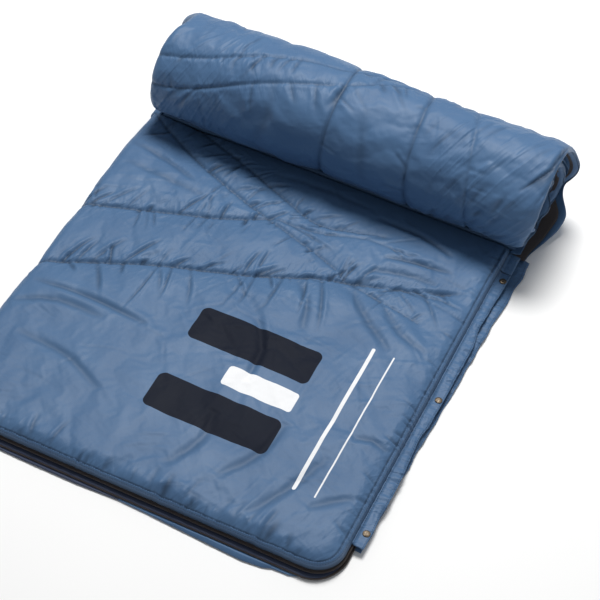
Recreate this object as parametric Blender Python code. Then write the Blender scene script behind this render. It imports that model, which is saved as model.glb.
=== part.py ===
"""Camp quilt, folded in half along its left edge and rolled up from its far end.

Units are metres, +Z up. The roll's axis and the width run along X, the length
runs along Y, with the near edge at -Y and the roll at +Y. The quilt lies on
the plane Z = 0. Each leaf is a shell, a batting and a lining. The upper leaf's
near right corner opens about a diagonal line; the snap placket folds about the
leaf's seam; the zip slider runs on the lower coil and carries a pull tab.
"""

import math

import bmesh
import bpy
from mathutils import Matrix, Vector

MM = 0.001
GAP = 0.3 * MM

# Overall plan
FOLD_X = -0.335
SEAM_X = 0.323
NEAR_Y = -0.427
LEAF_END_Y = 0.2897
CORNER_RADIUS = 0.045
LOWER_PAD_INSET = 0.0015

# Heights of the layers of the flat part
SHEET = 0.6 * MM
PILE = 35.5 * MM
MID = PILE / 2
LINING_CLEAR = 0.3 * MM
BATTING_LOW = SHEET + GAP
BATTING_HIGH = MID - LINING_CLEAR - SHEET - GAP

# The line that the upper leaf's corner opens about
HINGE_START = Vector((-0.345, -0.437, PILE + GAP))
HINGE_END = Vector((0.345, 0.268, PILE + GAP))
HINGE_CUT = 0.4 * MM

# The roll
ROLL_AXIS_Y = 0.338
ROLL_RADIUS = 0.112
ROLL_PITCH = 28.5 * MM
ROLL_BACK_Y = ROLL_AXIS_Y + ROLL_RADIUS - ROLL_PITCH / 4
ROLL_TURNS = 2.65
ROLL_STEPS = 20
ROLL_START_Y = 0.2903
ROLL_LEFT_X = -0.365
ROLL_OUTER_RIGHT_X = 0.365
ROLL_INNER_RIGHT_X = 0.345

# The lower leaf's hem passes the upper one by as much as centres the quilt on Y = 0
LOWER_HEM = ROLL_BACK_Y + NEAR_Y

# Snap placket
STRIP_X = SEAM_X + 0.5 * MM
LOWER_STRIP_EDGE_X = 0.358
UPPER_STRIP_EDGE_X = 0.344
LOWER_STRIP_Z = 1.0 * MM
LOWER_STRIP_THICK = 1.2 * MM
UPPER_STRIP_Z = 13.4 * MM
UPPER_STRIP_THICK = 1.0 * MM
STRIP_NEAR_Y = -0.360
SNAP_X = 0.3365
SNAP_FIRST_Y = -0.333
SNAP_PITCH = 0.280
SNAP_COUNT = 3
SNAP_SIDES = 20

# Zip, as distances outside the upper leaf's edge and as heights
TAPE_IN = 1.0 * MM
TAPE_OUT = 7.0 * MM
COIL_MID = 6.5 * MM
COIL_HALF = 1.5 * MM
LOWER_ZIP_SHIFT = 5.2 * MM
LOWER_TAPE_Z = 3.0 * MM
UPPER_TAPE_Z = 10.0 * MM
TAPE_THICK = 0.6 * MM
COIL_THICK = 2.0 * MM
ZIP_LEFT_X = -0.324
ZIP_END_X = 9.0 * MM
SLIDER_X = -0.313
SLIDER_LENGTH = 12.0 * MM
SLIDER_IN = 6.9 * MM
SLIDER_OUT = 15.6 * MM
SLIDER_WALL = 0.8 * MM
TAB_LENGTH = 22.0 * MM
TAB_WIDTH = 6.0 * MM

BLUE = (0.104, 0.197, 0.352)
DEEP_BLUE = (0.040, 0.085, 0.180)
WADDING = (0.80, 0.80, 0.78)
TAPE_BROWN = (0.060, 0.048, 0.046)
BRASS = (0.30, 0.23, 0.12)

for old in list(bpy.data.objects):
    bpy.data.objects.remove(old, do_unlink=True)


def material(name, colour, roughness, metallic):
    made = bpy.data.materials.new(name)
    made.use_nodes = True
    shader = made.node_tree.nodes["Principled BSDF"]
    shader.inputs["Base Color"].default_value = (*colour, 1.0)
    shader.inputs["Roughness"].default_value = roughness
    shader.inputs["Metallic"].default_value = metallic
    return made


SHELL_MAT = material("quilt_shell", BLUE, 0.5, 0.0)
LINING_MAT = material("quilt_lining", DEEP_BLUE, 0.6, 0.0)
BATTING_MAT = material("quilt_batting", WADDING, 0.9, 0.0)
TAPE_MAT = material("zip_tape", TAPE_BROWN, 0.8, 0.0)
COIL_MAT = material("zip_coil", TAPE_BROWN, 0.45, 0.0)
SNAP_MAT = material("snap_brass", BRASS, 0.35, 1.0)
SLIDER_MAT = material("zip_metal", BRASS, 0.4, 1.0)


def add(name, bm, mat, origin=(0.0, 0.0, 0.0), smooth=False):
    """One named object from a bmesh built in world space, with its origin at `origin`."""
    bmesh.ops.recalc_face_normals(bm, faces=bm.faces)
    bmesh.ops.translate(bm, verts=bm.verts, vec=-Vector(origin))
    mesh = bpy.data.meshes.new(name)
    bm.to_mesh(mesh)
    bm.free()
    mesh.materials.append(mat)
    if smooth:
        mesh.shade_smooth()
        mesh.set_sharp_from_angle(angle=math.radians(40))
    made = bpy.data.objects.new(name, mesh)
    made.location = origin
    bpy.context.scene.collection.objects.link(made)
    return made


def prism(outline, low, high):
    """A flat-ended solid over a plan outline, between two heights."""
    bm = bmesh.new()
    face = bm.faces.new([bm.verts.new((x, y, low)) for x, y in outline])
    moved = bmesh.ops.extrude_face_region(bm, geom=[face])["geom"]
    up = [v for v in moved if isinstance(v, bmesh.types.BMVert)]
    bmesh.ops.translate(bm, verts=up, vec=(0, 0, high - low))
    return bm


def band(inner, outer, low, high):
    """A ribbon solid between two plan curves with the same number of points."""
    bm = bmesh.new()
    rows = []
    for a, b in zip(inner, outer):
        rows.append([bm.verts.new((*p, z)) for p, z in ((a, low), (b, low), (b, high), (a, high))])
    for first, second in zip(rows, rows[1:]):
        for k in range(4):
            n = (k + 1) % 4
            bm.faces.new((first[k], first[n], second[n], second[k]))
    bm.faces.new(rows[0][::-1])
    bm.faces.new(rows[-1])
    return bm


def edge_path(offset, left_x, far_y, steps=9, near_shift=0.0):
    """The leaf's edge moved outwards by offset: the near edge, the rounded corner, the right side.

    near_shift is how much farther out the near edge lies, easing off round the corner.
    """
    centre = Vector((SEAM_X - CORNER_RADIUS, NEAR_Y + CORNER_RADIUS))
    points = [(left_x, NEAR_Y - offset - near_shift)]
    for k in range(steps + 1):
        turn = math.radians(-90 + 90 * k / steps)
        radius = CORNER_RADIUS + offset + near_shift * math.sin(turn) ** 2
        points.append((centre.x + radius * math.cos(turn), centre.y + radius * math.sin(turn)))
    points.append((SEAM_X + offset, far_y))
    return points


def hinge_y(x):
    share = (x - HINGE_START.x) / (HINGE_END.x - HINGE_START.x)
    return HINGE_START.y + share * (HINGE_END.y - HINGE_START.y)


def spiral_strip(low, high, left_x, right_x, turns=ROLL_TURNS):
    """A strip of one layer: flat under the roll, then wound up its back and over its top.

    low and high are depths in from the roll's outer surface.
    """
    outer, inner = [], []
    for depth, row in ((low, outer), (high, inner)):
        row.append((ROLL_START_Y, depth))
        for k in range(round(turns * ROLL_STEPS) + 1):
            turn = 2 * math.pi * k / ROLL_STEPS
            radius = ROLL_RADIUS - ROLL_PITCH * k / ROLL_STEPS - depth
            row.append((ROLL_AXIS_Y + radius * math.sin(turn), ROLL_RADIUS - radius * math.cos(turn)))
    bm = bmesh.new()
    rows = []
    for a, b in zip(outer, inner):
        corners = ((left_x, a), (right_x, a), (right_x, b), (left_x, b))
        rows.append([bm.verts.new((x, *p)) for x, p in corners])
    for first, second in zip(rows, rows[1:]):
        for k in range(4):
            n = (k + 1) % 4
            bm.faces.new((first[k], first[n], second[n], second[k]))
    bm.faces.new(rows[0][::-1])
    bm.faces.new(rows[-1])
    return bm


def turned(profile, centre, sides=SNAP_SIDES):
    """A solid turned about a vertical axis. profile is (radius, height) from axis to axis."""
    bm = bmesh.new()
    rings = []
    for radius, height in profile:
        if radius == 0:
            rings.append([bm.verts.new((centre[0], centre[1], height))])
            continue
        ring = []
        for k in range(sides):
            turn = 2 * math.pi * k / sides
            ring.append(
                bm.verts.new(
                    (centre[0] + radius * math.cos(turn), centre[1] + radius * math.sin(turn), height)
                )
            )
        rings.append(ring)
    for first, second in zip(rings, rings[1:]):
        for k in range(sides):
            n = (k + 1) % sides
            if len(first) == 1:
                bm.faces.new((first[0], second[k], second[n]))
            elif len(second) == 1:
                bm.faces.new((first[k], first[n], second[0]))
            else:
                bm.faces.new((first[k], first[n], second[n], second[k]))
    return bm


def box(low, high):
    bm = bmesh.new()
    bmesh.ops.create_cube(bm, size=1.0)
    size = Vector(high) - Vector(low)
    middle = (Vector(high) + Vector(low)) / 2
    bmesh.ops.transform(bm, verts=bm.verts, matrix=Matrix.Translation(middle) @ Matrix.Diagonal((*size, 1)))
    return bm


# --- Lower leaf: the shell lies on the ground and its hem reaches past the padding ---
FLAT_LEFT_X = FOLD_X + GAP
shell_outline = edge_path(LOWER_HEM, FLAT_LEFT_X, STRIP_NEAR_Y - GAP)
shell_outline += [(SEAM_X, STRIP_NEAR_Y - GAP), (SEAM_X, LEAF_END_Y), (FLAT_LEFT_X, LEAF_END_Y)]
add("lower_leaf_shell", prism(shell_outline, 0, SHEET), SHELL_MAT)
pad_outline = edge_path(-LOWER_PAD_INSET, FLAT_LEFT_X, LEAF_END_Y) + [(FLAT_LEFT_X, LEAF_END_Y)]
add("lower_leaf_batting", prism(pad_outline, BATTING_LOW, BATTING_HIGH), BATTING_MAT)
add(
    "lower_leaf_lining",
    prism(pad_outline, MID - LINING_CLEAR - SHEET, MID - LINING_CLEAR),
    LINING_MAT,
)

# --- Upper leaf: a fixed part by the roll and a corner that opens ---
CUT_LEFT_Y = hinge_y(FLAT_LEFT_X)
CUT_RIGHT_Y = hinge_y(SEAM_X)
fixed_outline = [
    (FLAT_LEFT_X, CUT_LEFT_Y + HINGE_CUT),
    (SEAM_X, CUT_RIGHT_Y + HINGE_CUT),
    (SEAM_X, LEAF_END_Y),
    (FLAT_LEFT_X, LEAF_END_Y),
]
flap_left_x = FOLD_X + (NEAR_Y - CUT_LEFT_Y) * (HINGE_END.x - HINGE_START.x) / (
    HINGE_END.y - HINGE_START.y
)
flap_outline = edge_path(0.0, max(flap_left_x, FLAT_LEFT_X) + HINGE_CUT, CUT_RIGHT_Y - HINGE_CUT)
UPPER_LAYERS = (
    ("lining", MID + LINING_CLEAR, MID + LINING_CLEAR + SHEET, LINING_MAT),
    ("batting", MID + LINING_CLEAR + SHEET + GAP, PILE - SHEET - GAP, BATTING_MAT),
    ("shell", PILE - SHEET, PILE, SHELL_MAT),
)
for layer, low, high, mat in UPPER_LAYERS:
    add("upper_leaf_" + layer, prism(fixed_outline, low, high), mat)
    add("corner_flap_" + layer, prism(flap_outline, low, high), mat, origin=HINGE_START)

# --- Left fold: the three layers turn over from the lower leaf to the upper one ---
FOLD_LAYERS = (
    ("shell", MID - SHEET, MID, SHELL_MAT),
    ("batting", LINING_CLEAR + SHEET + GAP, MID - SHEET - GAP, BATTING_MAT),
    ("lining", LINING_CLEAR, LINING_CLEAR + SHEET, LINING_MAT),
)


def half_ring(inner, outer, near_y, far_y, steps=10):
    bm = bmesh.new()
    profile = []
    for k in range(steps + 1):
        turn = math.radians(90 + 180 * k / steps)
        profile.append((FOLD_X + outer * math.cos(turn), MID + outer * math.sin(turn)))
    for k in range(steps, -1, -1):
        turn = math.radians(90 + 180 * k / steps)
        profile.append((FOLD_X + inner * math.cos(turn), MID + inner * math.sin(turn)))
    near = [bm.verts.new((x, near_y, z)) for x, z in profile]
    far = [bm.verts.new((x, far_y, z)) for x, z in profile]
    count = len(profile)
    for k in range(count):
        n = (k + 1) % count
        bm.faces.new((near[k], near[n], far[n], far[k]))
    for ring in (near, far):
        for k in range(steps):
            bm.faces.new((ring[k], ring[k + 1], ring[count - 2 - k], ring[count - 1 - k]))
    return bm


for layer, inner, outer, mat in FOLD_LAYERS:
    add("left_fold_" + layer, half_ring(inner, outer, NEAR_Y, LEAF_END_Y), mat, smooth=True)

# --- Roll: six wound layers, the lower leaf outside and the upper leaf inside ---
ROLL_LAYERS = (
    ("roll_outer_shell", 0.0, 0.6, ROLL_OUTER_RIGHT_X, SHELL_MAT),
    ("roll_outer_batting", 0.9, 12.5, 0.335, BATTING_MAT),
    ("roll_outer_lining", 12.8, 13.4, 0.335, LINING_MAT),
    ("roll_inner_lining", 14.1, 14.7, 0.332, LINING_MAT),
    ("roll_inner_batting", 15.0, 26.6, 0.332, BATTING_MAT),
    ("roll_inner_shell", 26.9, 27.5, ROLL_INNER_RIGHT_X, SHELL_MAT),
)
for name, low, high, right_x, mat in ROLL_LAYERS:
    add(name, spiral_strip(low * MM, high * MM, ROLL_LEFT_X, right_x), mat, smooth=True)
add(
    "roll_edge_zip_tape",
    spiral_strip(13.0 * MM, 13.8 * MM, 0.3365, 0.352, turns=1.5),
    TAPE_MAT,
    smooth=True,
)

# --- Snap placket: a strip on each leaf, and three snaps of four pieces each ---
lower_low = (STRIP_X, STRIP_NEAR_Y, LOWER_STRIP_Z)
lower_high = (LOWER_STRIP_EDGE_X, LEAF_END_Y, LOWER_STRIP_Z + LOWER_STRIP_THICK)
add("lower_placket_strip", box(lower_low, lower_high), SHELL_MAT)
strip_far_y = CUT_RIGHT_Y - HINGE_CUT
STRIP_TOP = UPPER_STRIP_Z + UPPER_STRIP_THICK
add(
    "upper_placket_strip",
    box((STRIP_X, STRIP_NEAR_Y, UPPER_STRIP_Z), (UPPER_STRIP_EDGE_X, strip_far_y, STRIP_TOP)),
    SHELL_MAT,
    origin=(STRIP_X, 0.0, STRIP_TOP),
)
roll_end_near_y = hinge_y(UPPER_STRIP_EDGE_X) + 2 * HINGE_CUT
add(
    "upper_placket_roll_end",
    box((STRIP_X, roll_end_near_y, UPPER_STRIP_Z), (UPPER_STRIP_EDGE_X, LEAF_END_Y, STRIP_TOP)),
    SHELL_MAT,
)
LOWER_TOP = LOWER_STRIP_Z + LOWER_STRIP_THICK
for k in range(SNAP_COUNT):
    centre = (SNAP_X, SNAP_FIRST_Y + k * SNAP_PITCH)
    suffix = f"_{k + 1}"
    post = [(0, 0), (4.2, 0), (4.6, 0.25), (4.6, 0.7), (0, 0.7)]
    stud = [(0, 0), (4.5, 0), (4.5, 0.6), (2.4, 0.8), (2.1, 1.5), (2.5, 2.1), (2.0, 2.7), (0, 2.7)]
    socket = [(0, 0), (4.5, 0), (4.8, -0.5), (4.8, -1.6), (4.4, -2.2), (3.1, -2.2), (2.9, -0.7), (0, -0.7)]
    cap = [(0, 0), (5.9, 0), (6.2, 0.4), (5.4, 1.2), (3.2, 1.7), (0, 1.85)]
    for name, profile, base in (
        ("snap_post", post, 0.0),
        ("snap_stud", stud, LOWER_TOP + GAP),
        ("snap_socket", socket, UPPER_STRIP_Z - GAP),
        ("snap_cap", cap, STRIP_TOP + GAP),
    ):
        points = [(r * MM, base + h * MM) for r, h in profile]
        add(name + suffix, turned(points, centre), SNAP_MAT, origin=(*centre, base), smooth=True)

# --- Zip: two tapes with coils, undone, round the near right corner ---
LOWER_COIL_Z = LOWER_TAPE_Z + TAPE_THICK + GAP
UPPER_COIL_Z = UPPER_TAPE_Z + TAPE_THICK + GAP


def zip_run(name, mat, sides, low, thick, far_y, near_shift=0.0, origin=(0, 0, 0)):
    inner, outer = (edge_path(side, ZIP_LEFT_X, far_y, near_shift=near_shift) for side in sides)
    return add(name, band(inner, outer, low, low + thick), mat, origin=origin)


COIL_IN = COIL_MID - COIL_HALF
COIL_OUT = COIL_MID + COIL_HALF
TAPE_SIDES = (TAPE_IN, TAPE_OUT)
COIL_SIDES = (COIL_IN, COIL_OUT)
zip_run("lower_zip_tape", TAPE_MAT, TAPE_SIDES, LOWER_TAPE_Z, TAPE_THICK, LEAF_END_Y, LOWER_ZIP_SHIFT)
zip_run("lower_zip_coil", COIL_MAT, COIL_SIDES, LOWER_COIL_Z, COIL_THICK, LEAF_END_Y, LOWER_ZIP_SHIFT)
zip_run("upper_zip_tape", TAPE_MAT, TAPE_SIDES, UPPER_TAPE_Z, TAPE_THICK, strip_far_y, 0.0, HINGE_START)
zip_run("upper_zip_coil", COIL_MAT, COIL_SIDES, UPPER_COIL_Z, COIL_THICK, strip_far_y, 0.0, HINGE_START)
tape_end = ((SEAM_X + TAPE_IN, roll_end_near_y), (SEAM_X + TAPE_OUT, LEAF_END_Y))
coil_end = ((SEAM_X + COIL_IN, roll_end_near_y), (SEAM_X + COIL_OUT, LEAF_END_Y))
for name, mat, (low, high), base, thick in (
    ("upper_zip_tape_roll_end", TAPE_MAT, tape_end, UPPER_TAPE_Z, TAPE_THICK),
    ("upper_zip_coil_roll_end", COIL_MAT, coil_end, UPPER_COIL_Z, COIL_THICK),
):
    add(name, box((*low, base), (*high, base + thick)), mat)
for name, base, thick, near_shift, origin in (
    ("zip_retainer_box", LOWER_TAPE_Z - 1.0 * MM, 4.6 * MM, LOWER_ZIP_SHIFT, (0, 0, 0)),
    ("zip_insertion_pin", UPPER_TAPE_Z - 0.6 * MM, 3.4 * MM, 0.0, HINGE_START),
):
    low = (ZIP_LEFT_X - GAP - ZIP_END_X, NEAR_Y - COIL_OUT - near_shift, base)
    high = (ZIP_LEFT_X - GAP, NEAR_Y - TAPE_IN - near_shift, base + thick)
    add(name, box(low, high), SLIDER_MAT, origin=origin)

# --- Zip slider: a channel round the lower coil, with an arch for the pull tab ---
SLIDER_TOP_IN = LOWER_COIL_Z + COIL_THICK + 0.4 * MM
SLIDER_TOP = SLIDER_TOP_IN + SLIDER_WALL
SLIDER_BASE_IN = LOWER_TAPE_Z - 0.5 * MM
SLIDER_BASE = SLIDER_BASE_IN - SLIDER_WALL
y_in = NEAR_Y - SLIDER_IN
y_out = NEAR_Y - SLIDER_OUT
y_lip = y_in - SLIDER_WALL
y_wall = NEAR_Y - COIL_OUT - LOWER_ZIP_SHIFT - 0.5 * MM
LIP_LOW = LOWER_TAPE_Z + TAPE_THICK + 0.5 * MM
channel = [
    (y_in, SLIDER_BASE), (y_in, SLIDER_BASE_IN), (y_wall, SLIDER_BASE_IN),
    (y_wall, SLIDER_TOP_IN), (y_lip, SLIDER_TOP_IN), (y_lip, LIP_LOW),
    (y_in, LIP_LOW), (y_in, SLIDER_TOP), (y_out, SLIDER_TOP), (y_out, SLIDER_BASE),
]
bm = bmesh.new()
left = SLIDER_X - SLIDER_LENGTH / 2
face = bm.faces.new([bm.verts.new((left, y, z)) for y, z in channel])
moved = bmesh.ops.extrude_face_region(bm, geom=[face])["geom"]
ends = [v for v in moved if isinstance(v, bmesh.types.BMVert)]
bmesh.ops.translate(bm, verts=ends, vec=(SLIDER_LENGTH, 0, 0))
SLIDER_Y = NEAR_Y - COIL_MID - LOWER_ZIP_SHIFT
slider = add("zip_slider_body", bm, SLIDER_MAT, origin=(SLIDER_X, SLIDER_Y, SLIDER_TOP))

ARCH_HALF = 4.2 * MM
ARCH_BAR = 1.0 * MM
ARCH_INSIDE = 1.7 * MM
ARCH_WIDE = 1.8 * MM
arch = [
    (-ARCH_HALF, -0.3 * MM), (-ARCH_HALF, ARCH_INSIDE + ARCH_BAR), (ARCH_HALF, ARCH_INSIDE + ARCH_BAR),
    (ARCH_HALF, -0.3 * MM), (ARCH_HALF - ARCH_BAR, -0.3 * MM), (ARCH_HALF - ARCH_BAR, ARCH_INSIDE),
    (-ARCH_HALF + ARCH_BAR, ARCH_INSIDE), (-ARCH_HALF + ARCH_BAR, -0.3 * MM),
]
bm = bmesh.new()
near_side = SLIDER_Y - ARCH_WIDE / 2
face = bm.faces.new([bm.verts.new((SLIDER_X + x, near_side, SLIDER_TOP + z)) for x, z in arch])
moved = bmesh.ops.extrude_face_region(bm, geom=[face])["geom"]
ends = [v for v in moved if isinstance(v, bmesh.types.BMVert)]
bmesh.ops.translate(bm, verts=ends, vec=(0, ARCH_WIDE, 0))
arch_tool = add("arch_tool", bm, SLIDER_MAT)
arch_tool.hide_render = True
arch_tool.display_type = "WIRE"
joined = slider.modifiers.new("Arch", "BOOLEAN")
joined.operation = "UNION"
joined.solver = "EXACT"
joined.object = arch_tool

# --- Pull tab: a flat tongue with a window, hung on the arch by its crossbar ---
TAB_Z = SLIDER_TOP + ARCH_INSIDE / 2
TAB_HALF = 0.45 * MM
WINDOW_FROM = 0.55 * MM
WINDOW_TO = 6.4 * MM
WINDOW_HALF = 1.5 * MM


def rounded_tab(low, high):
    half = TAB_WIDTH / 2
    outline = [(-0.55 * MM, -2.4 * MM), (-0.55 * MM, 2.4 * MM), (2.0 * MM, half)]
    for k in range(9):
        turn = math.radians(90 - 180 * k / 8)
        outline.append((TAB_LENGTH - half + half * math.cos(turn), half * math.sin(turn)))
    outline.append((2.0 * MM, -half))
    return prism([(SLIDER_X + x, SLIDER_Y + y) for x, y in outline], low, high)


tab = add(
    "zip_pull_tab", rounded_tab(TAB_Z - TAB_HALF, TAB_Z + TAB_HALF), SLIDER_MAT,
    origin=(SLIDER_X, SLIDER_Y, TAB_Z),
)
window = add(
    "tab_window_cutter",
    box(
        (SLIDER_X + WINDOW_FROM, SLIDER_Y - WINDOW_HALF, TAB_Z - 2 * MM),
        (SLIDER_X + WINDOW_TO, SLIDER_Y + WINDOW_HALF, TAB_Z + 2 * MM),
    ),
    SLIDER_MAT,
)
window.hide_render = True
window.display_type = "WIRE"
cut = tab.modifiers.new("Window", "BOOLEAN")
cut.operation = "DIFFERENCE"
cut.solver = "EXACT"
cut.object = window
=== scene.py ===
"""Looks of the camp quilt: folded in half, rolled from its far end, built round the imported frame.

The padded pieces start as flat quilted panels. Blender's cloth relaxes each panel over its seams, and the
result is laid over the flat leaf and wound round the roll. Everything is in metres in the frame's axes.
"""

import math

import bmesh
import bpy
import numpy as np
from mathutils import Matrix, Vector


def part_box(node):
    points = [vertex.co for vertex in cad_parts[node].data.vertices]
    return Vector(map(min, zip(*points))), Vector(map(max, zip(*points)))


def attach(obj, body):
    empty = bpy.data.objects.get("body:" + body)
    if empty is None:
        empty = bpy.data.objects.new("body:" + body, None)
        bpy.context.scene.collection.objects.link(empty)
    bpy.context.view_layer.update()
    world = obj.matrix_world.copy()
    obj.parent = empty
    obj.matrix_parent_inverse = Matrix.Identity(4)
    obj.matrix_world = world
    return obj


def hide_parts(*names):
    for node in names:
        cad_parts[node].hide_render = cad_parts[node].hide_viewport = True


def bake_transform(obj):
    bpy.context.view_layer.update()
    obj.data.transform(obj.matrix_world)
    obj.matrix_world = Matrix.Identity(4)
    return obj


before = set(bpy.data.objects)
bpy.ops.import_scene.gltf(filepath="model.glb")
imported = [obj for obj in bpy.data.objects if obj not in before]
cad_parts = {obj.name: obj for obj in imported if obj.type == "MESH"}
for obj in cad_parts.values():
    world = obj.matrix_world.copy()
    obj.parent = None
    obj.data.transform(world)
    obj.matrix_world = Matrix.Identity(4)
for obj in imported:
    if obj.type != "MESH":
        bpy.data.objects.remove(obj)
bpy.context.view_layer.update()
MM = 0.001

# --- Places read from the frame ---
FLAP_LOW, FLAP_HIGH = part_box("corner_flap_shell")
FOLD_LOW, FOLD_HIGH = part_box("left_fold_shell")
LEAF_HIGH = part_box("upper_leaf_shell")[1]
ROLL_LOW, ROLL_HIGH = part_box("roll_outer_shell")
STRIP_LOW, STRIP_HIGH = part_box("upper_placket_strip")
LOWER_STRIP_LOW, LOWER_STRIP_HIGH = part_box("lower_placket_strip")
PILE = FLAP_HIGH.z
MID = PILE / 2
SEAM_X = FLAP_HIGH.x
NEAR_Y = FLAP_LOW.y
LEAF_END_Y = LEAF_HIGH.y
FOLD_X = FOLD_HIGH.x
FOLD_R = FOLD_HIGH.x - FOLD_LOW.x

# --- The CAD part's sizes that its boxes don't give ---
CORNER_RADIUS = 0.045
CORNER = (SEAM_X - CORNER_RADIUS, NEAR_Y + CORNER_RADIUS)
ROLL_AXIS_Y = 0.338
ROLL_RADIUS = 0.112
ROLL_PITCH = 28.5 * MM
ROLL_TURNS = 2.65
ROLL_START_Y = 0.2903

# --- Sizes of the looks alone ---
# Depths below the roll's outside: of the whole quilt, the outer wrap's lining, the inner wrap's outside
WRAP_THICK = 27.5 * MM
OUTER_WRAP = 13.4 * MM
INNER_WRAP = 14.1 * MM
ARC = 0.1  # metres of panel to one radian of the roll
SEAM_Z = 19.5 * MM  # height of the leaf's sewn edge
RIM_RADIUS = 26 * MM  # how far in from that the leaf has its full height
CREASE_SHADE_DEPTH = 3.2 * MM  # a groove this deep gets the darkest painted shade
# Grids over a leaf: step, closer step near its edges, how wide that is
UPPER_GRID = (2.5 * MM, 1.6 * MM, 21 * MM)
LOWER_GRID = (6 * MM, 2 * MM, 20 * MM)
LINE_STEP = 0.02


# --- Fields over a panel ---
def smooth(t):
    t = np.clip(t, 0, 1)
    return t * t * (3 - 2 * t)


def bell(t):
    return np.exp(-(t**2))


def joined(*coordinates):
    """Arrays of coordinates put together as an array of points."""
    return np.stack(coordinates, -1)


def along(line):
    """Distance along a line at each of its points."""
    return np.concatenate([[0], np.cumsum(np.linalg.norm(np.diff(line, axis=0), axis=1))])


def beside(points, x, y):
    """Distance to a line through the points, and the share of the way along it."""
    best = np.full(x.shape, 9.0)
    share = np.zeros(x.shape)
    line = np.array(points, float)
    lengths = np.hypot(*(line[1:] - line[:-1]).T)
    run = 0.0
    for a, b, length in zip(line[:-1], line[1:], lengths):
        t = ((x - a[0]) * (b[0] - a[0]) + (y - a[1]) * (b[1] - a[1])) / length**2
        t = np.clip(t, 0, 1)
        away = np.hypot(x - a[0] - t * (b[0] - a[0]), y - a[1] - t * (b[1] - a[1]))
        closer = away < best
        best = np.where(closer, away, best)
        share = np.where(closer, (run + t * length) / lengths.sum(), share)
        run += length
    return best, share


def curve_through(points, step):
    """A smooth line through a few points, with a point every step or so."""
    p = np.array(points, float)
    p = np.vstack([2 * p[0] - p[1], p, 2 * p[-1] - p[-2]])
    made = [p[1]]
    for k in range(1, len(p) - 2):
        count = max(2, int(np.linalg.norm(p[k + 1] - p[k]) / step))
        for t in np.linspace(0, 1, count + 1)[1:]:
            a = 2 * p[k]
            b = (p[k + 1] - p[k - 1]) * t
            c = (2 * p[k - 1] - 5 * p[k] + 4 * p[k + 1] - p[k + 2]) * t**2
            d = (3 * p[k] - p[k - 1] - 3 * p[k + 1] + p[k + 2]) * t**3
            made.append((a + b + c + d) / 2)
    return np.array(made)


def waves(x, y, scale, seed, count=14):
    """Gentle uneven swells about scale across, from waves in random directions."""
    draw = np.random.default_rng(seed)
    total = np.zeros(np.broadcast(x, y).shape)
    for _ in range(count):
        turn = draw.uniform(0, 2 * math.pi)
        pace = 2 * math.pi / (scale * draw.uniform(0.7, 1.6))
        total += np.sin(pace * (x * math.cos(turn) + y * math.sin(turn)) + draw.uniform(0, 7))
    return total / math.sqrt(count)


def crease(x, y, at, turn, length, width, depth):
    """One pull in the cloth: a narrow valley with a ridge close along one side, faded at both ends."""
    run = ((x - at[0]) * math.cos(turn) + (y - at[1]) * math.sin(turn)) / length
    across = -(x - at[0]) * math.sin(turn) + (y - at[1]) * math.cos(turn)
    fade = np.clip(1 - (run - 0.42) ** 2 / 0.34, 0, 1) ** 1.5
    b = (across + 0.12 * length * run**2) / width
    return depth * fade * (0.8 * np.exp(-((b - 1.5) ** 2) / 0.9) - np.exp(-(b**2) / 0.9))


def pulls(x, y, line, count, turn, spread, length, depth, seed, width=2.7 * MM):
    """Creases that start along a seam, at about one angle."""
    draw = np.random.default_rng(seed)
    total = np.zeros(x.shape)
    for _ in range(count):
        at = line[int(draw.uniform(0.0, 0.999) * (len(line) - 1))]
        lean = math.radians(turn + draw.normal(0, spread))
        reach = length * draw.uniform(0.35, 1.6) ** 1.3
        deep = depth * draw.uniform(0.25, 1.2)
        total += crease(x, y, at, lean, reach, width * draw.uniform(0.7, 1.6), deep)
    return total


def sample(field, box, x, y):
    """Cubic reading of a grid of points that covers box = (x0, x1, y0, y1)."""
    rows, cols = field.shape[:2]
    u = np.clip((x - box[0]) / (box[1] - box[0]) * (cols - 1), 0, cols - 1.000001)
    v = np.clip((y - box[2]) / (box[3] - box[2]) * (rows - 1), 0, rows - 1.000001)
    i, j = u.astype(int), v.astype(int)
    total = 0
    for dv, wv in zip(range(-1, 3), cubic(v - j)):
        for du, wu in zip(range(-1, 3), cubic(u - i)):
            value = field[np.clip(j + dv, 0, rows - 1), np.clip(i + du, 0, cols - 1)]
            total = total + value * (wu * wv)[..., None]
    return total


def cubic(t):
    return (
        (-t + 2 * t**2 - t**3) / 2,
        (2 - 5 * t**2 + 3 * t**3) / 2,
        (t + 4 * t**2 - 3 * t**3) / 2,
        (-(t**2) + t**3) / 2,
    )


# --- Mesh helpers ---
def added(name, data):
    """A new object of the scene that holds the data."""
    made = bpy.data.objects.new(name, data)
    bpy.context.scene.collection.objects.link(made)
    return made


def mesh_of(name, points, faces):
    mesh = bpy.data.meshes.new(name)
    points = np.asarray(points, float).reshape(-1, 3).tolist()
    mesh.from_pydata(points, [], [list(map(int, face)) for face in faces])
    return mesh


def piece(name, points, faces, mat, uv=None):
    """An object from points and faces, its faces turned out, with a UV for each point."""
    mesh = mesh_of(name, points, faces)
    if uv is not None:
        layer = mesh.uv_layers.new(name="UVMap")
        corners = np.zeros(len(mesh.loops), np.int32)
        mesh.loops.foreach_get("vertex_index", corners)
        layer.data.foreach_set("uv", np.asarray(uv, np.float32).reshape(-1, 2)[corners].ravel())
    bm = bmesh.new()
    bm.from_mesh(mesh)
    bmesh.ops.recalc_face_normals(bm, faces=bm.faces)
    bm.to_mesh(mesh)
    bm.free()
    mesh.polygons.foreach_set("use_smooth", [True] * len(mesh.polygons))
    mesh.materials.append(mat)
    return added(name, mesh)


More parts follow.
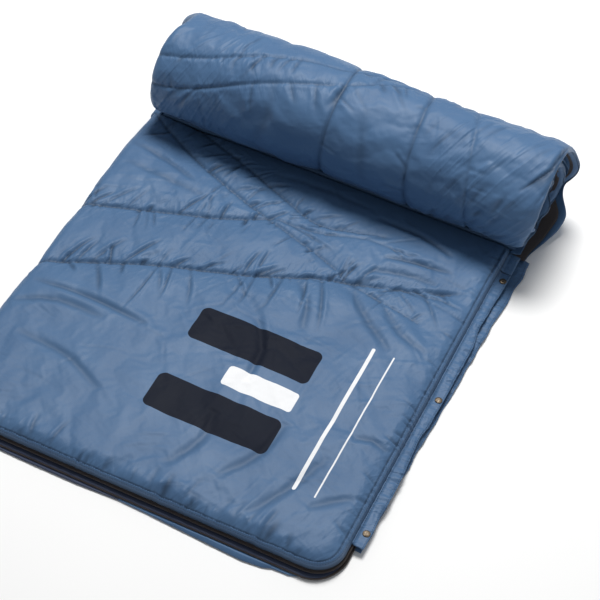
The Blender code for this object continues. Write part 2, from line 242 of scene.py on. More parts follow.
def grid_faces(rows, cols, start=0, flip=False, ring=False):
    """Quads over rows x cols numbered points; ring joins the last column to the first."""
    number = start + np.arange(rows * cols).reshape(rows, cols)
    if ring:
        number = np.hstack([number, number[:, :1]])
    quads = joined(number[:-1, :-1], number[:-1, 1:], number[1:, 1:], number[1:, :-1]).reshape(-1, 4)
    return (quads[:, ::-1] if flip else quads).tolist()


def mark(obj, name, values):
    """Stores a value for each of the piece's first points, with 0 for the rest."""
    layer = obj.data.attributes.new(name, "FLOAT", "POINT")
    stored = np.zeros(len(obj.data.vertices), np.float32)
    stored[: values.size] = np.clip(values.ravel(), 0, 1)
    layer.data.foreach_set("value", stored)


def mark_painted_crease_shade(obj, relief):
    """Keeps how deep each point lies in a groove or fold, where the shell's colour is darkened as painted
    shade.
    """
    mark(obj, "tuck", -relief / CREASE_SHADE_DEPTH)


def slab(name, top, under, mat, uv, under_mat=None):
    """A closed piece from two grids of points with the same rows and columns."""
    rows, cols = top.shape[:2]
    count = rows * cols
    faces = grid_faces(rows, cols) + grid_faces(rows, cols, count, flip=True)
    number = np.arange(count).reshape(rows, cols)
    rim = np.concatenate([number[0, :], number[1:, -1], number[-1, -2::-1], number[-2:0:-1, 0]])
    for a, b in zip(rim, np.roll(rim, -1)):
        faces.append([a + count, b + count, b, a])
    made = piece(name, np.stack([top, under]), faces, mat, np.stack([uv, uv]))
    if under_mat is not None:
        made.data.materials.append(under_mat)
        half = (rows - 1) * (cols - 1)
        index = np.zeros(len(faces), np.int32)
        index[half : 2 * half] = 1
        made.data.polygons.foreach_set("material_index", index)
    return made


def swept_faces(rows, cols, start=0):
    """Faces round a row of rings, closed at both ends."""
    last = start + (rows - 1) * cols
    ends = [list(range(start, start + cols))[::-1], list(range(last, last + cols))]
    return grid_faces(rows, cols, start, ring=True) + ends


def swept(name, rings, mat, uv=None):
    """A closed piece from rings of points, one after another, with flat ends."""
    return piece(name, rings, swept_faces(*rings.shape[:2]), mat, uv)


# --- The quilting, as lines over each panel with the strength at both ends ---
LEAF_BOX = (FOLD_X - math.pi * FOLD_R - 2 * MM, SEAM_X + 2 * MM, NEAR_Y - 3 * MM, LEAF_END_Y + 2 * MM)
LEAF_SEAMS = (
    (((-0.40, 0.010), (-0.345, 0.040), (-0.21, 0.090), (-0.14, 0.115), (-0.052, 0.160)), 1.0, 0.8),
    (((-0.40, -0.140), (-0.35, -0.108), (-0.245, -0.055), (-0.16, -0.018), (-0.035, 0.028),
      (0.06, 0.072), (0.115, 0.09)), 0.9, 1.0),
    (((0.115, 0.09), (0.19, 0.115), (0.272, 0.143)), 1.0, 0.75),
    (((-0.40, 0.322), (-0.35, 0.292), (-0.29, 0.257), (-0.205, 0.209), (-0.09, 0.165),
      (0.058, 0.116), (0.115, 0.09), (0.18, 0.076), (0.25, 0.062)), 1.0, 0.45),
    (((-0.27, 0.296), (-0.22, 0.278), (-0.083, 0.222), (0.012, 0.184), (0.07, 0.192),
      (0.13, 0.21)), 1.0, 0.5),
    (((-0.052, 0.160), (0.03, 0.164), (0.13, 0.19), (0.29, 0.162)), 0.55, 0.2),
)
# Soft folds: (points, depth in mm, half width in mm)
LEAF_FOLDS = (
    (((0.145, 0.164), (0.20, 0.178), (0.263, 0.184)), 2.6, 5),
    (((0.135, 0.128), (0.19, 0.146), (0.25, 0.150)), 1.6, 6),
    (((0.125, 0.078), (0.17, 0.030), (0.235, -0.020)), 1.5, 9),
    (((0.19, 0.060), (0.235, 0.022), (0.29, 0.005)), 1.3, 8),
    (((0.04, 0.06), (0.075, 0.015), (0.095, -0.045)), 1.4, 7),
    (((-0.333, -0.150), (-0.233, -0.143), (-0.125, -0.150)), 2.0, 6),
    (((-0.345, -0.205), (-0.275, -0.172), (-0.19, -0.170)), 1.6, 7),
    (((-0.30, -0.255), (-0.21, -0.262), (-0.13, -0.300)), 1.3, 8),
    (((-0.345, 0.20), (-0.27, 0.19), (-0.20, 0.165)), 1.6, 6),
    (((-0.33, 0.155), (-0.26, 0.152), (-0.17, 0.145)), 1.2, 7),
    (((0.02, -0.05), (0.055, -0.11), (0.06, -0.18)), 1.2, 8),
    (((0.10, -0.36), (0.14, -0.29), (0.15, -0.22)), 1.4, 10),
    (((0.02, -0.38), (0.05, -0.31), (0.045, -0.25)), 1.2, 10),
    (((0.17, -0.40), (0.205, -0.33), (0.235, -0.25)), 1.3, 9),
    (((0.245, -0.350), (0.275, -0.318), (0.300, -0.30)), 1.2, 8),
    (((0.25, -0.20), (0.28, -0.19), (0.31, -0.20)), 1.4, 7),
    (((-0.10, 0.255), (0.0, 0.262), (0.10, 0.255)), 1.6, 6),
    (((0.10, 0.245), (0.18, 0.238), (0.25, 0.215)), 2.4, 5),
)
# (seam, count, angle, spread, length mm, depth mm, seed)
LEAF_PULLS = (
    (0, 22, 80, 18, 46, 3.2, 11),
    (0, 14, -80, 22, 32, 2.2, 12),
    (1, 28, 76, 20, 46, 3.2, 13),
    (1, 18, -62, 20, 70, 2.6, 14),
    (3, 24, 60, 18, 44, 2.8, 15),
    (3, 14, -110, 16, 32, 2.2, 16),
    (4, 18, 55, 20, 38, 3.0, 17),
    (4, 16, -118, 18, 32, 2.8, 18),
    (2, 8, 20, 16, 60, 2.0, 19),
    (2, 7, -35, 12, 70, 2.2, 21),
    (5, 10, 10, 20, 60, 2.4, 20),
)
# The same along the sewn edges, with a half width in mm last
EDGE_PULLS = (
    ("near", 30, 84, 14, 38, 2.2, 31, 4.6),
    ("near", 40, 98, 14, 18, 1.2, 33, 2.4),
    ("right", 60, 183, 12, 24, 1.5, 32, 2.6),
)
GROOVE = 3.8 * MM
LOOSE_CREASES = 90
EDGES = {
    "near": curve_through(((FOLD_X, NEAR_Y), (0.0, NEAR_Y), (0.27, NEAR_Y)), 0.01),
    "right": curve_through(((SEAM_X, -0.385), (SEAM_X, 0.0), (SEAM_X, 0.28)), 0.01),
}


def seam_depth(seams, x, y, fall):
    """How far the seams pull a panel in: 1 on a full seam, falling away beside it."""
    deep = np.zeros(x.shape)
    for points, first, last in seams:
        away, share = beside(curve_through(points, LINE_STEP), x, y)
        deep = np.maximum(deep, (first + (last - first) * share) * np.exp(-away / fall))
    return deep


def fold_depth(folds, x, y):
    total = np.zeros(x.shape)
    for points, depth, half in folds:
        away, share = beside(curve_through(points, LINE_STEP), x, y)
        b = away / (half * MM)
        taper = np.clip(4 * share * (1 - share), 0, 1) ** 0.6
        total += depth * MM * taper * (0.3 * np.exp(-((b - 2.2) ** 2) / 1.5) - np.exp(-(b**2)))
    return total


def leaf_field(x, y):
    """Height of the upper leaf's shell over its plain top, before the cloth settles."""
    high = -8.5 * MM * seam_depth(LEAF_SEAMS, x, y, 0.018)
    high += 0.6 * fold_depth(LEAF_FOLDS, x, y)
    high += 1.1 * MM * waves(x, y, 0.16, 41) + 0.45 * MM * waves(x, y, 0.055, 42)
    return high


def leaf_fine(x, y):
    """The sharp parts of the leaf's relief: stitched grooves, folds and the pulls that start on them."""
    high = -GROOVE * seam_depth(LEAF_SEAMS, x, y, 2.2 * MM)
    high += fold_depth(LEAF_FOLDS, x, y)
    for seam, count, turn, spread, length, depth, seed in LEAF_PULLS:
        line = curve_through(LEAF_SEAMS[seam][0], 0.01)
        high += pulls(x, y, line, count, turn, spread, length * MM, depth * MM, seed)
    for edge, count, turn, spread, length, depth, seed, half in EDGE_PULLS:
        high += pulls(x, y, EDGES[edge], count, turn, spread, length * MM, depth * MM, seed, half * MM)
    draw = np.random.default_rng(45)
    for _ in range(LOOSE_CREASES):
        at = (draw.uniform(-0.34, 0.26), draw.uniform(-0.40, 0.25))
        turn = draw.choice([0.15, 0.9, 2.3]) + draw.normal(0, 0.25)
        reach, half = draw.uniform(0.03, 0.12), draw.uniform(2.2, 4.0) * MM
        high += crease(x, y, at, turn, reach, half, draw.uniform(0.15, 0.5) * MM)
    return high


ROLL_BOX = (ROLL_LOW.x - math.pi * WRAP_THICK / 2, ROLL_HIGH.x, -0.06, 2 * math.pi * ARC + 0.06)


def roll_line(*points):
    """Points given as (x, degrees up the back and over the roll) as (x, panel length)."""
    return tuple((x, math.radians(turn) * ARC) for x, turn in points)


ROLL_SEAMS = (
    (roll_line((-0.06, -20), (-0.02, 60), (-0.018, 162), (-0.020, 274), (-0.03, 380)), 0.9, 0.9),
    (roll_line((0.16, -20), (0.11, 80), (0.121, 160), (0.134, 283), (0.15, 380)), 0.9, 0.9),
    (roll_line((0.18, 100), (0.212, 177), (0.239, 262), (0.25, 380)), 0.3, 0.75),
    (roll_line((-0.42, 224), (-0.332, 217), (-0.108, 170), (-0.018, 158), (0.12, 120)), 0.8, 0.5),
    (roll_line((-0.42, 258), (-0.323, 251), (-0.165, 216), (-0.018, 182), (0.063, 153),
               (0.2, 120)), 0.8, 0.5),
    (roll_line((-0.42, 60), (-0.2, 90), (-0.02, 100), (0.2, 60), (0.36, 50)), 0.7, 0.6),
)
ROLL_FOLDS = (
    (roll_line((0.341, 150), (0.334, 190), (0.322, 205), (0.304, 225)), 2.0, 2.6),
    (roll_line((0.345, 205), (0.338, 222), (0.331, 240)), 1.4, 2.6),
    (roll_line((0.318, 195), (0.30, 212), (0.28, 232)), 0.8, 4),
    (roll_line((0.03, 200), (0.05, 240), (0.06, 280)), 1.0, 9),
    (roll_line((-0.13, 200), (-0.12, 240), (-0.14, 280)), 1.0, 9),
)
# Pulls at each of ROLL_SEAMS: count, angle, length mm, depth mm
ROLL_PULLS = (
    (20, 14, 34, 1.3),
    (20, 168, 34, 1.3),
    (16, 12, 36, 1.2),
    (18, 95, 44, 1.7),
    (22, 78, 44, 1.9),
    (10, 60, 30, 1.4),
)
# Creases drawn across the roll at its ends: count, x from and to, radians from and to, angle, its spread,
# greatest length, half width in mm, depth in mm
ROLL_CREASES = (
    (46, (0.14, 0.34), (1.9, 5.6), 118, 9, 0.075, 4.6, (0.5, 1.5)),
    (44, (-0.40, -0.20), (1.2, 5.9), 96, 14, 0.06, 3.6, (0.5, 1.3)),
)
# The tuck at the roll's right end: degrees round the roll, x there
TUCK = ((110, 150, 190, 205, 225), (0.344, 0.341, 0.334, 0.322, 0.304))
TUCK_STEP = 6.0 * MM


def roll_field(x, y):
    """Height of the roll's outside over its plain spiral. y is the length of panel along the winding."""
    high = -3.2 * MM * seam_depth(ROLL_SEAMS, x, y, 0.012)
    return high + 1.3 * MM * waves(x, y, 0.15, 43) + 0.4 * MM * waves(x, y, 0.05, 44)


def roll_fine(x, y):
    """The sharp parts of the roll's relief, as for the leaf."""
    high = -0.8 * GROOVE * seam_depth(ROLL_SEAMS, x, y, 2.2 * MM)
    high += fold_depth(ROLL_FOLDS, x, y)
    turned = np.degrees(y / ARC)
    tuck_at = np.interp(turned, TUCK[0], TUCK[1])
    window = smooth((turned - 105) / 15) * smooth((228 - turned) / 30)
    past = x - tuck_at
    high -= TUCK_STEP * smooth(past / (1.5 * MM)) * np.exp(-np.clip(past, 0, 1) / (14 * MM)) * window
    high += 1.2 * MM * bell((past + 2.5 * MM) / (2.5 * MM)) * window
    for k, (count, lean, length, depth) in enumerate(ROLL_PULLS):
        line = curve_through(ROLL_SEAMS[k][0], 0.01)
        high += pulls(x, y, line, count, lean, 20, length * MM, depth * MM, 60 + k, 3.6 * MM)
    draw = np.random.default_rng(77)
    for count, across, round_roll, lean, spread, longest, half, depths in ROLL_CREASES:
        for _ in range(count):
            at = (draw.uniform(*across), draw.uniform(*round_roll) * ARC)
            turn = math.radians(lean + draw.uniform(-spread, spread))
            reach = draw.uniform(0.03, longest)
            high += crease(x, y, at, turn, reach, half * MM, draw.uniform(*depths) * MM)
    return high


# The cloth: a light, stiff nylon that is held where it is sewn and cut larger beside that
FABRIC = {
    "quality": 5,
    "mass": 0.02,
    "tension_stiffness": 30,
    "compression_stiffness": 30,
    "shear_stiffness": 12,
    "bending_stiffness": 0.3,
    "air_damping": 2,
    "vertex_group_mass": "held",
    "vertex_group_shrink": "gathered",
    "shrink_min": -0.004,
    "use_pressure": True,
}


def relaxed(name, field, seams, box, pressure, growth, step=5 * MM, frames=22):
    """The panel's offsets (dx, dy, height) after cloth has settled over the seams that hold it down.

    The cloth is cut a little larger than the panel beside the seams, so it gathers there as sewn cloth does.
    """
    cols = round((box[1] - box[0]) / step) + 1
    rows = round((box[3] - box[2]) / step) + 1
    x, y = np.meshgrid(np.linspace(box[0], box[1], cols), np.linspace(box[2], box[3], rows))
    height = field(x, y)
    flat = joined(x, y, height)
    panel = added(name, mesh_of(name, flat, grid_faces(rows, cols)))
    on_seam = seam_depth(seams, x, y, 4 * MM) > 0.30
    on_edge = np.minimum.reduce([x - box[0], box[1] - x, y - box[2], box[3] - y]) < step / 2
    for group, values in (
        ("held", np.where(on_seam | on_edge, 1.0, 0.075)),
        ("gathered", np.round(seam_depth(seams, x, y, 45 * MM), 1)),
    ):
        made = panel.vertex_groups.new(name=group)
        for value in np.unique(values):
            members = np.flatnonzero(values.ravel() == value).tolist()
            made.add(members, float(value), "REPLACE")
    cloth = panel.modifiers.new("Cloth", "CLOTH")
    settings = cloth.settings
    for setting, value in {**FABRIC, "shrink_max": -growth, "uniform_pressure_force": pressure}.items():
        setattr(settings, setting, value)
    settings.effector_weights.gravity = 0
    cloth.collision_settings.use_collision = False
    cloth.point_cache.frame_start = 1
    cloth.point_cache.frame_end = frames
    for number in range(1, frames + 1):
        bpy.context.scene.frame_set(number)
    settled = panel.evaluated_get(bpy.context.evaluated_depsgraph_get())
    points = np.zeros(rows * cols * 3, np.float32)
    settled.data.vertices.foreach_get("co", points)
    bpy.data.objects.remove(panel, do_unlink=True)
    bpy.context.scene.frame_set(1)
    return points.reshape(rows, cols, 3) - joined(x, y, 0 * x)


LEAF_SET = relaxed("leaf_panel", leaf_field, LEAF_SEAMS, LEAF_BOX, 0.8, 0.03)
ROLL_SET = relaxed("roll_panel", roll_field, ROLL_SEAMS, ROLL_BOX, 0.3, 0.012)


# --- Materials ---
class Nodes:
    """A new material's shader nodes, with short ways to add and join them."""

    def __init__(self, name):
        self.mat = bpy.data.materials.new(name)
        self.mat.use_nodes = True
        self.tree = self.mat.node_tree

    def feed(self, node, inputs):
        """Sets inputs of a node, each to a value or to another node's output."""
        for key, value in inputs.items():
            if isinstance(value, bpy.types.NodeSocket):
                self.tree.links.new(value, node.inputs[key])
            else:
                node.inputs[key].default_value = value

    def shade(self, inputs):
        self.feed(self.tree.nodes["Principled BSDF"], inputs)
        return self.mat

    def add(self, kind, inputs, **settings):
        made = self.tree.nodes.new("ShaderNode" + kind)
        for key, value in settings.items():
            setattr(made, key, value)
        self.feed(made, inputs)
        return made

    def uv(self):
        return self.add("UVMap", {}).outputs["UV"]

    def place(self):
        return self.add("TexCoord", {}).outputs["Object"]

    def mapped(self, source, scale):
        """A coordinate output scaled by (x, y, z)."""
        return self.add("Mapping", {"Vector": source, "Scale": scale}).outputs["Vector"]

    def noise(self, vector, scale, detail=2.0):
        return self.add("TexNoise", {"Vector": vector, "Scale": scale, "Detail": detail}).outputs["Fac"]

    def stored(self, name):
        """A value that mark() stored on the piece, 0 on pieces without it."""
        return self.add("Attribute", {}, attribute_name=name).outputs["Fac"]

    def blended(self, fac, *colours):
        """A colour between two: each a colour or another node's output."""
        first, second = ((*c, 1.0) if isinstance(c, tuple) else c for c in colours)
        return self.add("Mix", {"Factor": fac, "A": first, "B": second}, data_type="RGBA").outputs["Result"]

    def sums(self, operation, *values):
        return self.add("Math", dict(enumerate(values)), operation=operation).outputs[0]

    def ranged(self, value, low, high, to_low=0.0, to_high=1.0):
        """A value carried from low..high to to_low..to_high, held at both ends."""
        ends = {"From Min": low, "From Max": high, "To Min": to_low, "To Max": to_high}
        return self.add("MapRange", {"Value": value, **ends}).outputs["Result"]

    def bump(self, height, strength, distance, **below):
        inputs = {"Height": height, "Strength": strength, "Distance": distance, **below}
        return self.add("Bump", inputs).outputs["Normal"]

    def weave(self, uv, pitch):
        """Height of a plain weave: threads of the given pitch crossing at right angles."""
        split = self.add("SeparateXYZ", {"Vector": uv}).outputs
        turns = 2 * math.pi / pitch
        threads = [self.sums("SINE", self.sums("MULTIPLY", split[axis], turns)) for axis in "XY"]
        return self.sums("MULTIPLY", *threads)

    def inside(self, uv, low, high, corner):
        """1 inside a rounded rectangle over the panel, 0 outside."""
        split = self.add("SeparateXYZ", {"Vector": uv}).outputs
        squares = []
        for axis, a, b in zip("XY", low, high):
            from_mid = self.sums("ABSOLUTE", self.sums("SUBTRACT", split[axis], (a + b) / 2))
            side = self.sums("MAXIMUM", self.sums("SUBTRACT", from_mid, (b - a) / 2 - corner), 0.0)
            squares.append(self.sums("MULTIPLY", side, side))
        reach = self.sums("SQRT", self.sums("ADD", *squares))
        return self.ranged(reach, corner + 0.2 * MM, corner - 0.2 * MM)

    def ridges(self, uv, turn, scale, low, high, share):
        """Straight ridges at one angle, from stretched noise."""
        turned = self.add("Mapping", {"Vector": uv, "Rotation": (0.0, 0.0, -math.radians(turn))})
        wavy = self.noise(self.mapped(turned.outputs["Vector"], scale), 1.0, 1.0)
        return self.sums("POWER", self.ranged(wavy, low, high, 0.0, share), 1.5)


def tinted(colour, by):
    return tuple(min(1.0, by * c) for c in colour)


SHELL_BLUE = (0.068, 0.141, 0.265)
SHELL_SHADE = (0.056, 0.121, 0.236)
PRINT_NAVY = (0.006, 0.009, 0.019)
PRINT_WHITE = (0.82, 0.83, 0.85)
# The printed blocks: colour, low corner and high corner over the leaf, corner radius
PRINT = (
    (PRINT_NAVY, (-0.063, -0.142), (0.147, -0.072), 0.012),
    (PRINT_NAVY, (-0.063, -0.292), (0.147, -0.222), 0.012),
    (PRINT_WHITE, (0.027, -0.202), (0.147, -0.162), 0.006),
    (PRINT_WHITE, (0.209, -0.327), (0.215, -0.027), 0.003),
    (PRINT_WHITE, (0.2455, -0.327), (0.248, -0.027), 0.00125),
)
# Fine wrinkles: turn in degrees, waves to a metre along and across them, waves of their patches, height
WRINKLES = (
    (22, (8, 42, 1), 5.0, 1.0),
    (74, (9, 50, 1), 7.0, 0.8),
    (131, (7, 40, 1), 6.0, 1.0),
    (160, (16, 90, 1), 9.0, 0.35),
)
# Small gathers beside seams: turn in degrees, waves to a metre along and across them, height
GATHERS = (
    (80, (22, 120, 1), 0.75),
    (52, (26, 150, 1), 0.65),
    (108, (20, 110, 1), 0.5),
)
# Long creases drawn across the roll near its ends, as ridges() takes them
DRAWN = (113, (7, 85, 1), 0.47, 0.66, 0.95)


def creased(nodes, uv):
    """Height of light thin fabric: patches of straight wrinkles, and gathers where the piece is sewn."""
    layers = [(nodes.ridges(uv, *DRAWN), nodes.stored("drawn"))]
    for turn, scale, patch, share in WRINKLES:
        where = nodes.ranged(nodes.noise(uv, patch, 1.0), 0.5, 0.62)
        layers.append((nodes.ridges(uv, turn, scale, 0.47, 0.68, share), where))
    for turn, scale, share in GATHERS:
        layers.append((nodes.ridges(uv, turn, scale, 0.48, 0.66, share), nodes.stored("gather")))
    total = 0.0
    for high, where in layers:
        total = nodes.sums("ADD", total, nodes.sums("MULTIPLY", high, where))
    return total


def nylon(name, colour, shade, rough=0.50, print_blocks=()):
    """Downproof nylon: a fine plain weave, faint uneven dye, painted shade in its grooves and folds, a soft
    satin gloss.
    """
    nodes = Nodes(name)
    uv = nodes.uv()
    cloudy = nodes.noise(uv, 9.0, 3.0)
    base = nodes.blended(nodes.ranged(cloudy, 0.3, 0.7), colour, shade)
    streaks = nodes.noise(nodes.mapped(uv, (2500, 180, 1)), 1.0, 1.0)
    base = nodes.blended(nodes.ranged(streaks, 0.3, 0.7, 0.0, 0.16), base, tinted(colour, 1.35))
    # Painted shade: the colour darkens towards a dim copy of the shade colour where the stored tuck depth
    # says a point lies deep in a groove or fold.
    base = nodes.blended(nodes.sums("MULTIPLY", nodes.stored("tuck"), 0.75), base, tinted(shade, 0.3))
    satin = nodes.ranged(cloudy, 0.3, 0.7, rough - 0.04, rough + 0.05)
    gloss = 0.3
    if print_blocks:
        printed = 0.0
        for ink, low, high, corner in print_blocks:
            mask = nodes.inside(uv, low, high, corner)
            base = nodes.blended(mask, base, ink)
            printed = nodes.sums("MAXIMUM", printed, mask)
        satin = nodes.sums("ADD", satin, nodes.sums("MULTIPLY", printed, 0.14))
        gloss = nodes.ranged(printed, 0.0, 1.0, 0.3, 0.12)
    threads = nodes.bump(nodes.weave(uv, 0.7 * MM), 0.25, 0.08 * MM)
    return nodes.shade(
        {
            "Base Color": base,
            "Roughness": satin,
            "Specular IOR Level": gloss,
            "Sheen Weight": 0.05,
            "Sheen Roughness": 0.45,
            "Sheen Tint": (0.75, 0.85, 1.0, 1.0),
            "Normal": nodes.bump(creased(nodes, uv), 1.0, 1.1 * MM, Normal=threads),
        }
    )


def woven_tape(name, colour):
    """Zip tape: a dull herringbone weave."""
    nodes = Nodes(name)
    uv = nodes.uv()
    threads = nodes.weave(nodes.mapped(uv, (1.0, 1.6, 1.0)), 0.9 * MM)
    light = nodes.ranged(nodes.sums("ADD", nodes.noise(uv, 60.0, 3.0), threads), 0.1, 1.3)
    return nodes.shade(
        {
            "Base Color": nodes.blended(light, colour, tinted(colour, 1.7)),
            "Roughness": 0.82,
            "Sheen Weight": 0.15,
            "Normal": nodes.bump(threads, 0.5, 0.15 * MM),
        }
    )


def plastic(name, colour):
    """Nylon coil and thread: slightly glossy, with an uneven tint."""
    nodes = Nodes(name)
    patchy = nodes.noise(nodes.place(), 400.0)
    tint = nodes.blended(patchy, colour, tinted(colour, 1.5))
    return nodes.shade({"Base Color": tint, "Roughness": nodes.ranged(patchy, 0.3, 0.7, 0.5, 0.65)})


def antique_brass(name, colour, dark):
    """Brushed dull brass, darker where it has tarnished, with fine scratches."""
    nodes = Nodes(name)
    place = nodes.place()
    tarnish = nodes.noise(place, 420.0, 4.0)
    return nodes.shade(
        {
            "Base Color": nodes.blended(nodes.ranged(tarnish, 0.35, 0.65), colour, dark),
            "Roughness": nodes.ranged(tarnish, 0.3, 0.7, 0.4, 0.62),
            "Metallic": 1.0,
            "Normal": nodes.bump(nodes.noise(nodes.mapped(place, (300, 6000, 6000)), 1.0), 0.2, 0.05 * MM),
        }
    )


def floor_paper(name):
    nodes = Nodes(name)
    paper = nodes.blended(nodes.noise(nodes.place(), 3.0), (0.92, 0.92, 0.92), (0.95, 0.95, 0.95))
    return nodes.shade({"Base Color": paper, "Roughness": 0.9})


SHELL = nylon("shell_nylon", SHELL_BLUE, SHELL_SHADE)
SHELL_PRINTED = nylon("shell_nylon_printed", SHELL_BLUE, SHELL_SHADE, print_blocks=PRINT)
LINING = nylon("lining_nylon", (0.052, 0.069, 0.122), (0.042, 0.056, 0.105), rough=0.55)
TAPE = woven_tape("zip_tape_weave", (0.034, 0.028, 0.028))
COIL = plastic("zip_coil_nylon", (0.060, 0.048, 0.045))
# The thread is a dark navy, made darker still as painted shade for the stitched grooves it lies in.
THREAD = plastic("sewing_thread", (0.012, 0.026, 0.060))
SNAP = antique_brass("snap_antique_brass", (0.155, 0.125, 0.092), (0.075, 0.060, 0.046))
ZIP_METAL = antique_brass("zip_antique_brass", (0.22, 0.17, 0.11), (0.10, 0.08, 0.055))
FLOOR_PAPER = floor_paper("studio_floor_paper")


# --- Upper leaf: flat, with its left side turned over the fold ---
def rounded_corner(x, y):
    """Moves points of the square near right corner into the rounded one."""
    a = np.clip((x - CORNER[0]) / CORNER_RADIUS, 0, 2)
    b = np.clip((CORNER[1] - y) / CORNER_RADIUS, 0, 2)
    in_corner = (a > 0) & (b > 0)
    round_a = a * np.sqrt(np.clip(1 - b**2 / 2, 0, 1))
    round_b = b * np.sqrt(np.clip(1 - a**2 / 2, 0, 1))
    return (
        np.where(in_corner, CORNER[0] + round_a * CORNER_RADIUS, x),
        np.where(in_corner, CORNER[1] - round_b * CORNER_RADIUS, y),
    )


def sewn_share(y):
    """Width of the sewn edge against its width up the side: narrower along the near edge."""
    return 1 - 0.42 * smooth((CORNER[1] - y) / CORNER_RADIUS)


def from_edge(x, y):
    """Distance in from the leaf's near and right edges, round the corner too."""
    right = SEAM_X - x
    near = y - NEAR_Y
    corner = CORNER_RADIUS - np.hypot(x - CORNER[0], y - CORNER[1])
    in_corner = (x > CORNER[0]) & (y < CORNER[1])
    return np.where(in_corner, corner, np.minimum(right, near))


def dome(away, radius):
    """0 at the edge, rising along a quarter ellipse to 1 at radius from it."""
    return np.sqrt(np.clip(1 - (1 - np.clip(away / radius, 0, 1)) ** 2, 0, 1))


def leaf_top(x, y):
    """Points of the shell over plan points x, y; x left of the fold line runs on round the fold."""
    offset = sample(LEAF_SET, LEAF_BOX, x, y)
    fine = leaf_fine(x, y)
    edge = from_edge(x, y)
    free = smooth(edge / (10 * MM)) * smooth((LEAF_END_Y - y) / (10 * MM))
    x = x + offset[..., 0] * free
    y = y + offset[..., 1] * free
    rise = dome(edge, RIM_RADIUS)
    lift = offset[..., 2] * (0.25 + 0.75 * smooth(edge / (18 * MM))) + fine
    lift = lift - (PILE - SEAM_Z) * (1 - rise)
    under_roll = smooth((y - 0.20) / 0.088)
    lift = lift * (1 - 0.6 * under_roll) - (PILE - ROLL_PITCH + 1.2 * MM) * under_roll
    angle = np.clip((FOLD_X - x) / FOLD_R, 0, math.pi)
    lift = lift * (1 - 0.55 * smooth((FOLD_X + 30 * MM - x) / (50 * MM)))
    lift = lift - 1.5 * MM * smooth(angle / math.pi) - np.where(angle > 2.2, np.maximum(lift, 0), 0)
    radius = FOLD_R + lift
    px = np.where(x < FOLD_X, FOLD_X - radius * np.sin(angle), x)
    return joined(px, y, np.maximum(MID + radius * np.cos(angle), 0.0))


def leaf_under(x, y):
    """Points of the lining under the upper leaf, with its quilting; it runs down inside the fold."""
    angle = np.clip((FOLD_X - x) / FOLD_R, 0, math.pi)
    quilting = 2.2 * MM * seam_depth(LEAF_SEAMS, x, y, 0.02) + 0.5 * MM * waves(x, y, 0.05, 52)
    z = MID + 0.4 * MM + np.clip(quilting, 0, None) * smooth(from_edge(x, y) / 0.02)
    down = 1 - angle / math.pi
    px = np.where(x < FOLD_X, FOLD_X - 0.2 * MM, x)
    return joined(px, y, np.where(x < FOLD_X, MID * down + 0.2 * MM, z))


def spaced_line(low, high, step, fine, width, fine_at_low=False):
    """Values from low to high, closer together over a width at one end."""
    if fine_at_low:
        parts = (np.arange(low, low + width, fine), np.arange(low + width, high, step), [high])
    else:
        parts = (np.arange(low, high - width, step), np.arange(high - width, high - fine / 2, fine), [high])
    return np.concatenate(parts)


def leaf_plan(low_x, spacing, *more_x):
    """Plan points over a leaf from low_x to its right edge, with its near right corner rounded."""
    rows = spaced_line(NEAR_Y, LEAF_END_Y, *spacing, fine_at_low=True)
    cols = np.concatenate([*more_x, spaced_line(low_x, SEAM_X, *spacing)])
    return rounded_corner(*np.meshgrid(cols, rows))


fold_cols = FOLD_X - np.linspace(math.pi * FOLD_R, 0, 17)[:-1]
plan_x, plan_y = leaf_plan(FOLD_X, UPPER_GRID, fold_cols)
plan = joined(plan_x, plan_y)
upper_leaf = slab(
    "upper_leaf", leaf_top(plan_x, plan_y), leaf_under(plan_x, plan_y), SHELL_PRINTED, plan, LINING
)
welt_away = from_edge(plan_x, plan_y) / sewn_share(plan_y)
# Painted shade: a dark line along the inner edge of the welt, where the rib meets the leaf.
welt_shade_line = CREASE_SHADE_DEPTH * bell((welt_away - 7.6 * MM) / (1.4 * MM))
mark_painted_crease_shade(upper_leaf, leaf_fine(plan_x, plan_y) - welt_shade_line)
edge_gather = 0.8 * np.exp(-np.clip(from_edge(plan_x, plan_y) - 6 * MM, 0, 1) / 0.018)
mark(upper_leaf, "gather", np.maximum(seam_depth(LEAF_SEAMS, plan_x, plan_y, 0.026), edge_gather))

# --- Lower leaf: lies under the upper one, lining up, with a slack hem at its near edge ---
HEM_OUT = (  # x, and how far in millimetres the hem reaches out beyond the leaf there
    (-0.336, 15.0), (-0.25, 16.0), (-0.18, 17.5), (-0.09, 18.0), (-0.02, 14.8), (0.03, 16.5), (0.12, 21.5),
    (0.19, 25.0), (0.222, 22.0), (0.236, 17.0), (0.262, 16.0), (0.30, 4.0),
)
HEM_X, HEM_REACH = np.array(HEM_OUT).T

low_x, low_y = leaf_plan(FOLD_X + 0.4 * MM, LOWER_GRID)
low_edge = from_edge(low_x, low_y)
low_inset = 3.0 * MM * (1 - smooth(low_edge / 0.03))
low_quilt = 3.2 * MM * seam_depth(LEAF_SEAMS, low_x, low_y, 0.02)
low_quilt += 0.8 * MM * np.abs(waves(low_x, low_y, 0.06, 53))
low_high = 4 * MM + (MID - 4.6 * MM) * dome(low_edge, 20 * MM) - low_quilt * smooth(low_edge / 0.02)
low_top = joined(low_x - low_inset, low_y + low_inset, low_high)
low_under = joined(low_x - low_inset, low_y + low_inset, 2.2 * MM * (1 - smooth(low_edge / 0.012)))
lower_leaf = slab("lower_leaf", low_top, low_under, LINING, joined(low_x, low_y), SHELL)


def outward(line):
    """Unit directions to the right of a plan line, one at each of its points."""
    forward = np.gradient(line, axis=0)
    forward /= np.linalg.norm(forward, axis=1, keepdims=True)
    return joined(forward[:, 1], -forward[:, 0])


def half_thick(thick, share):
    """Half the thickness of double cloth across a band, rounded off at both edges."""
    return thick / 2 * np.sqrt(np.clip(1 - (2 * share - 1) ** 8, 0.05, 1))


def at_x(x, y):
    return joined(np.full(y.shape, x), y)


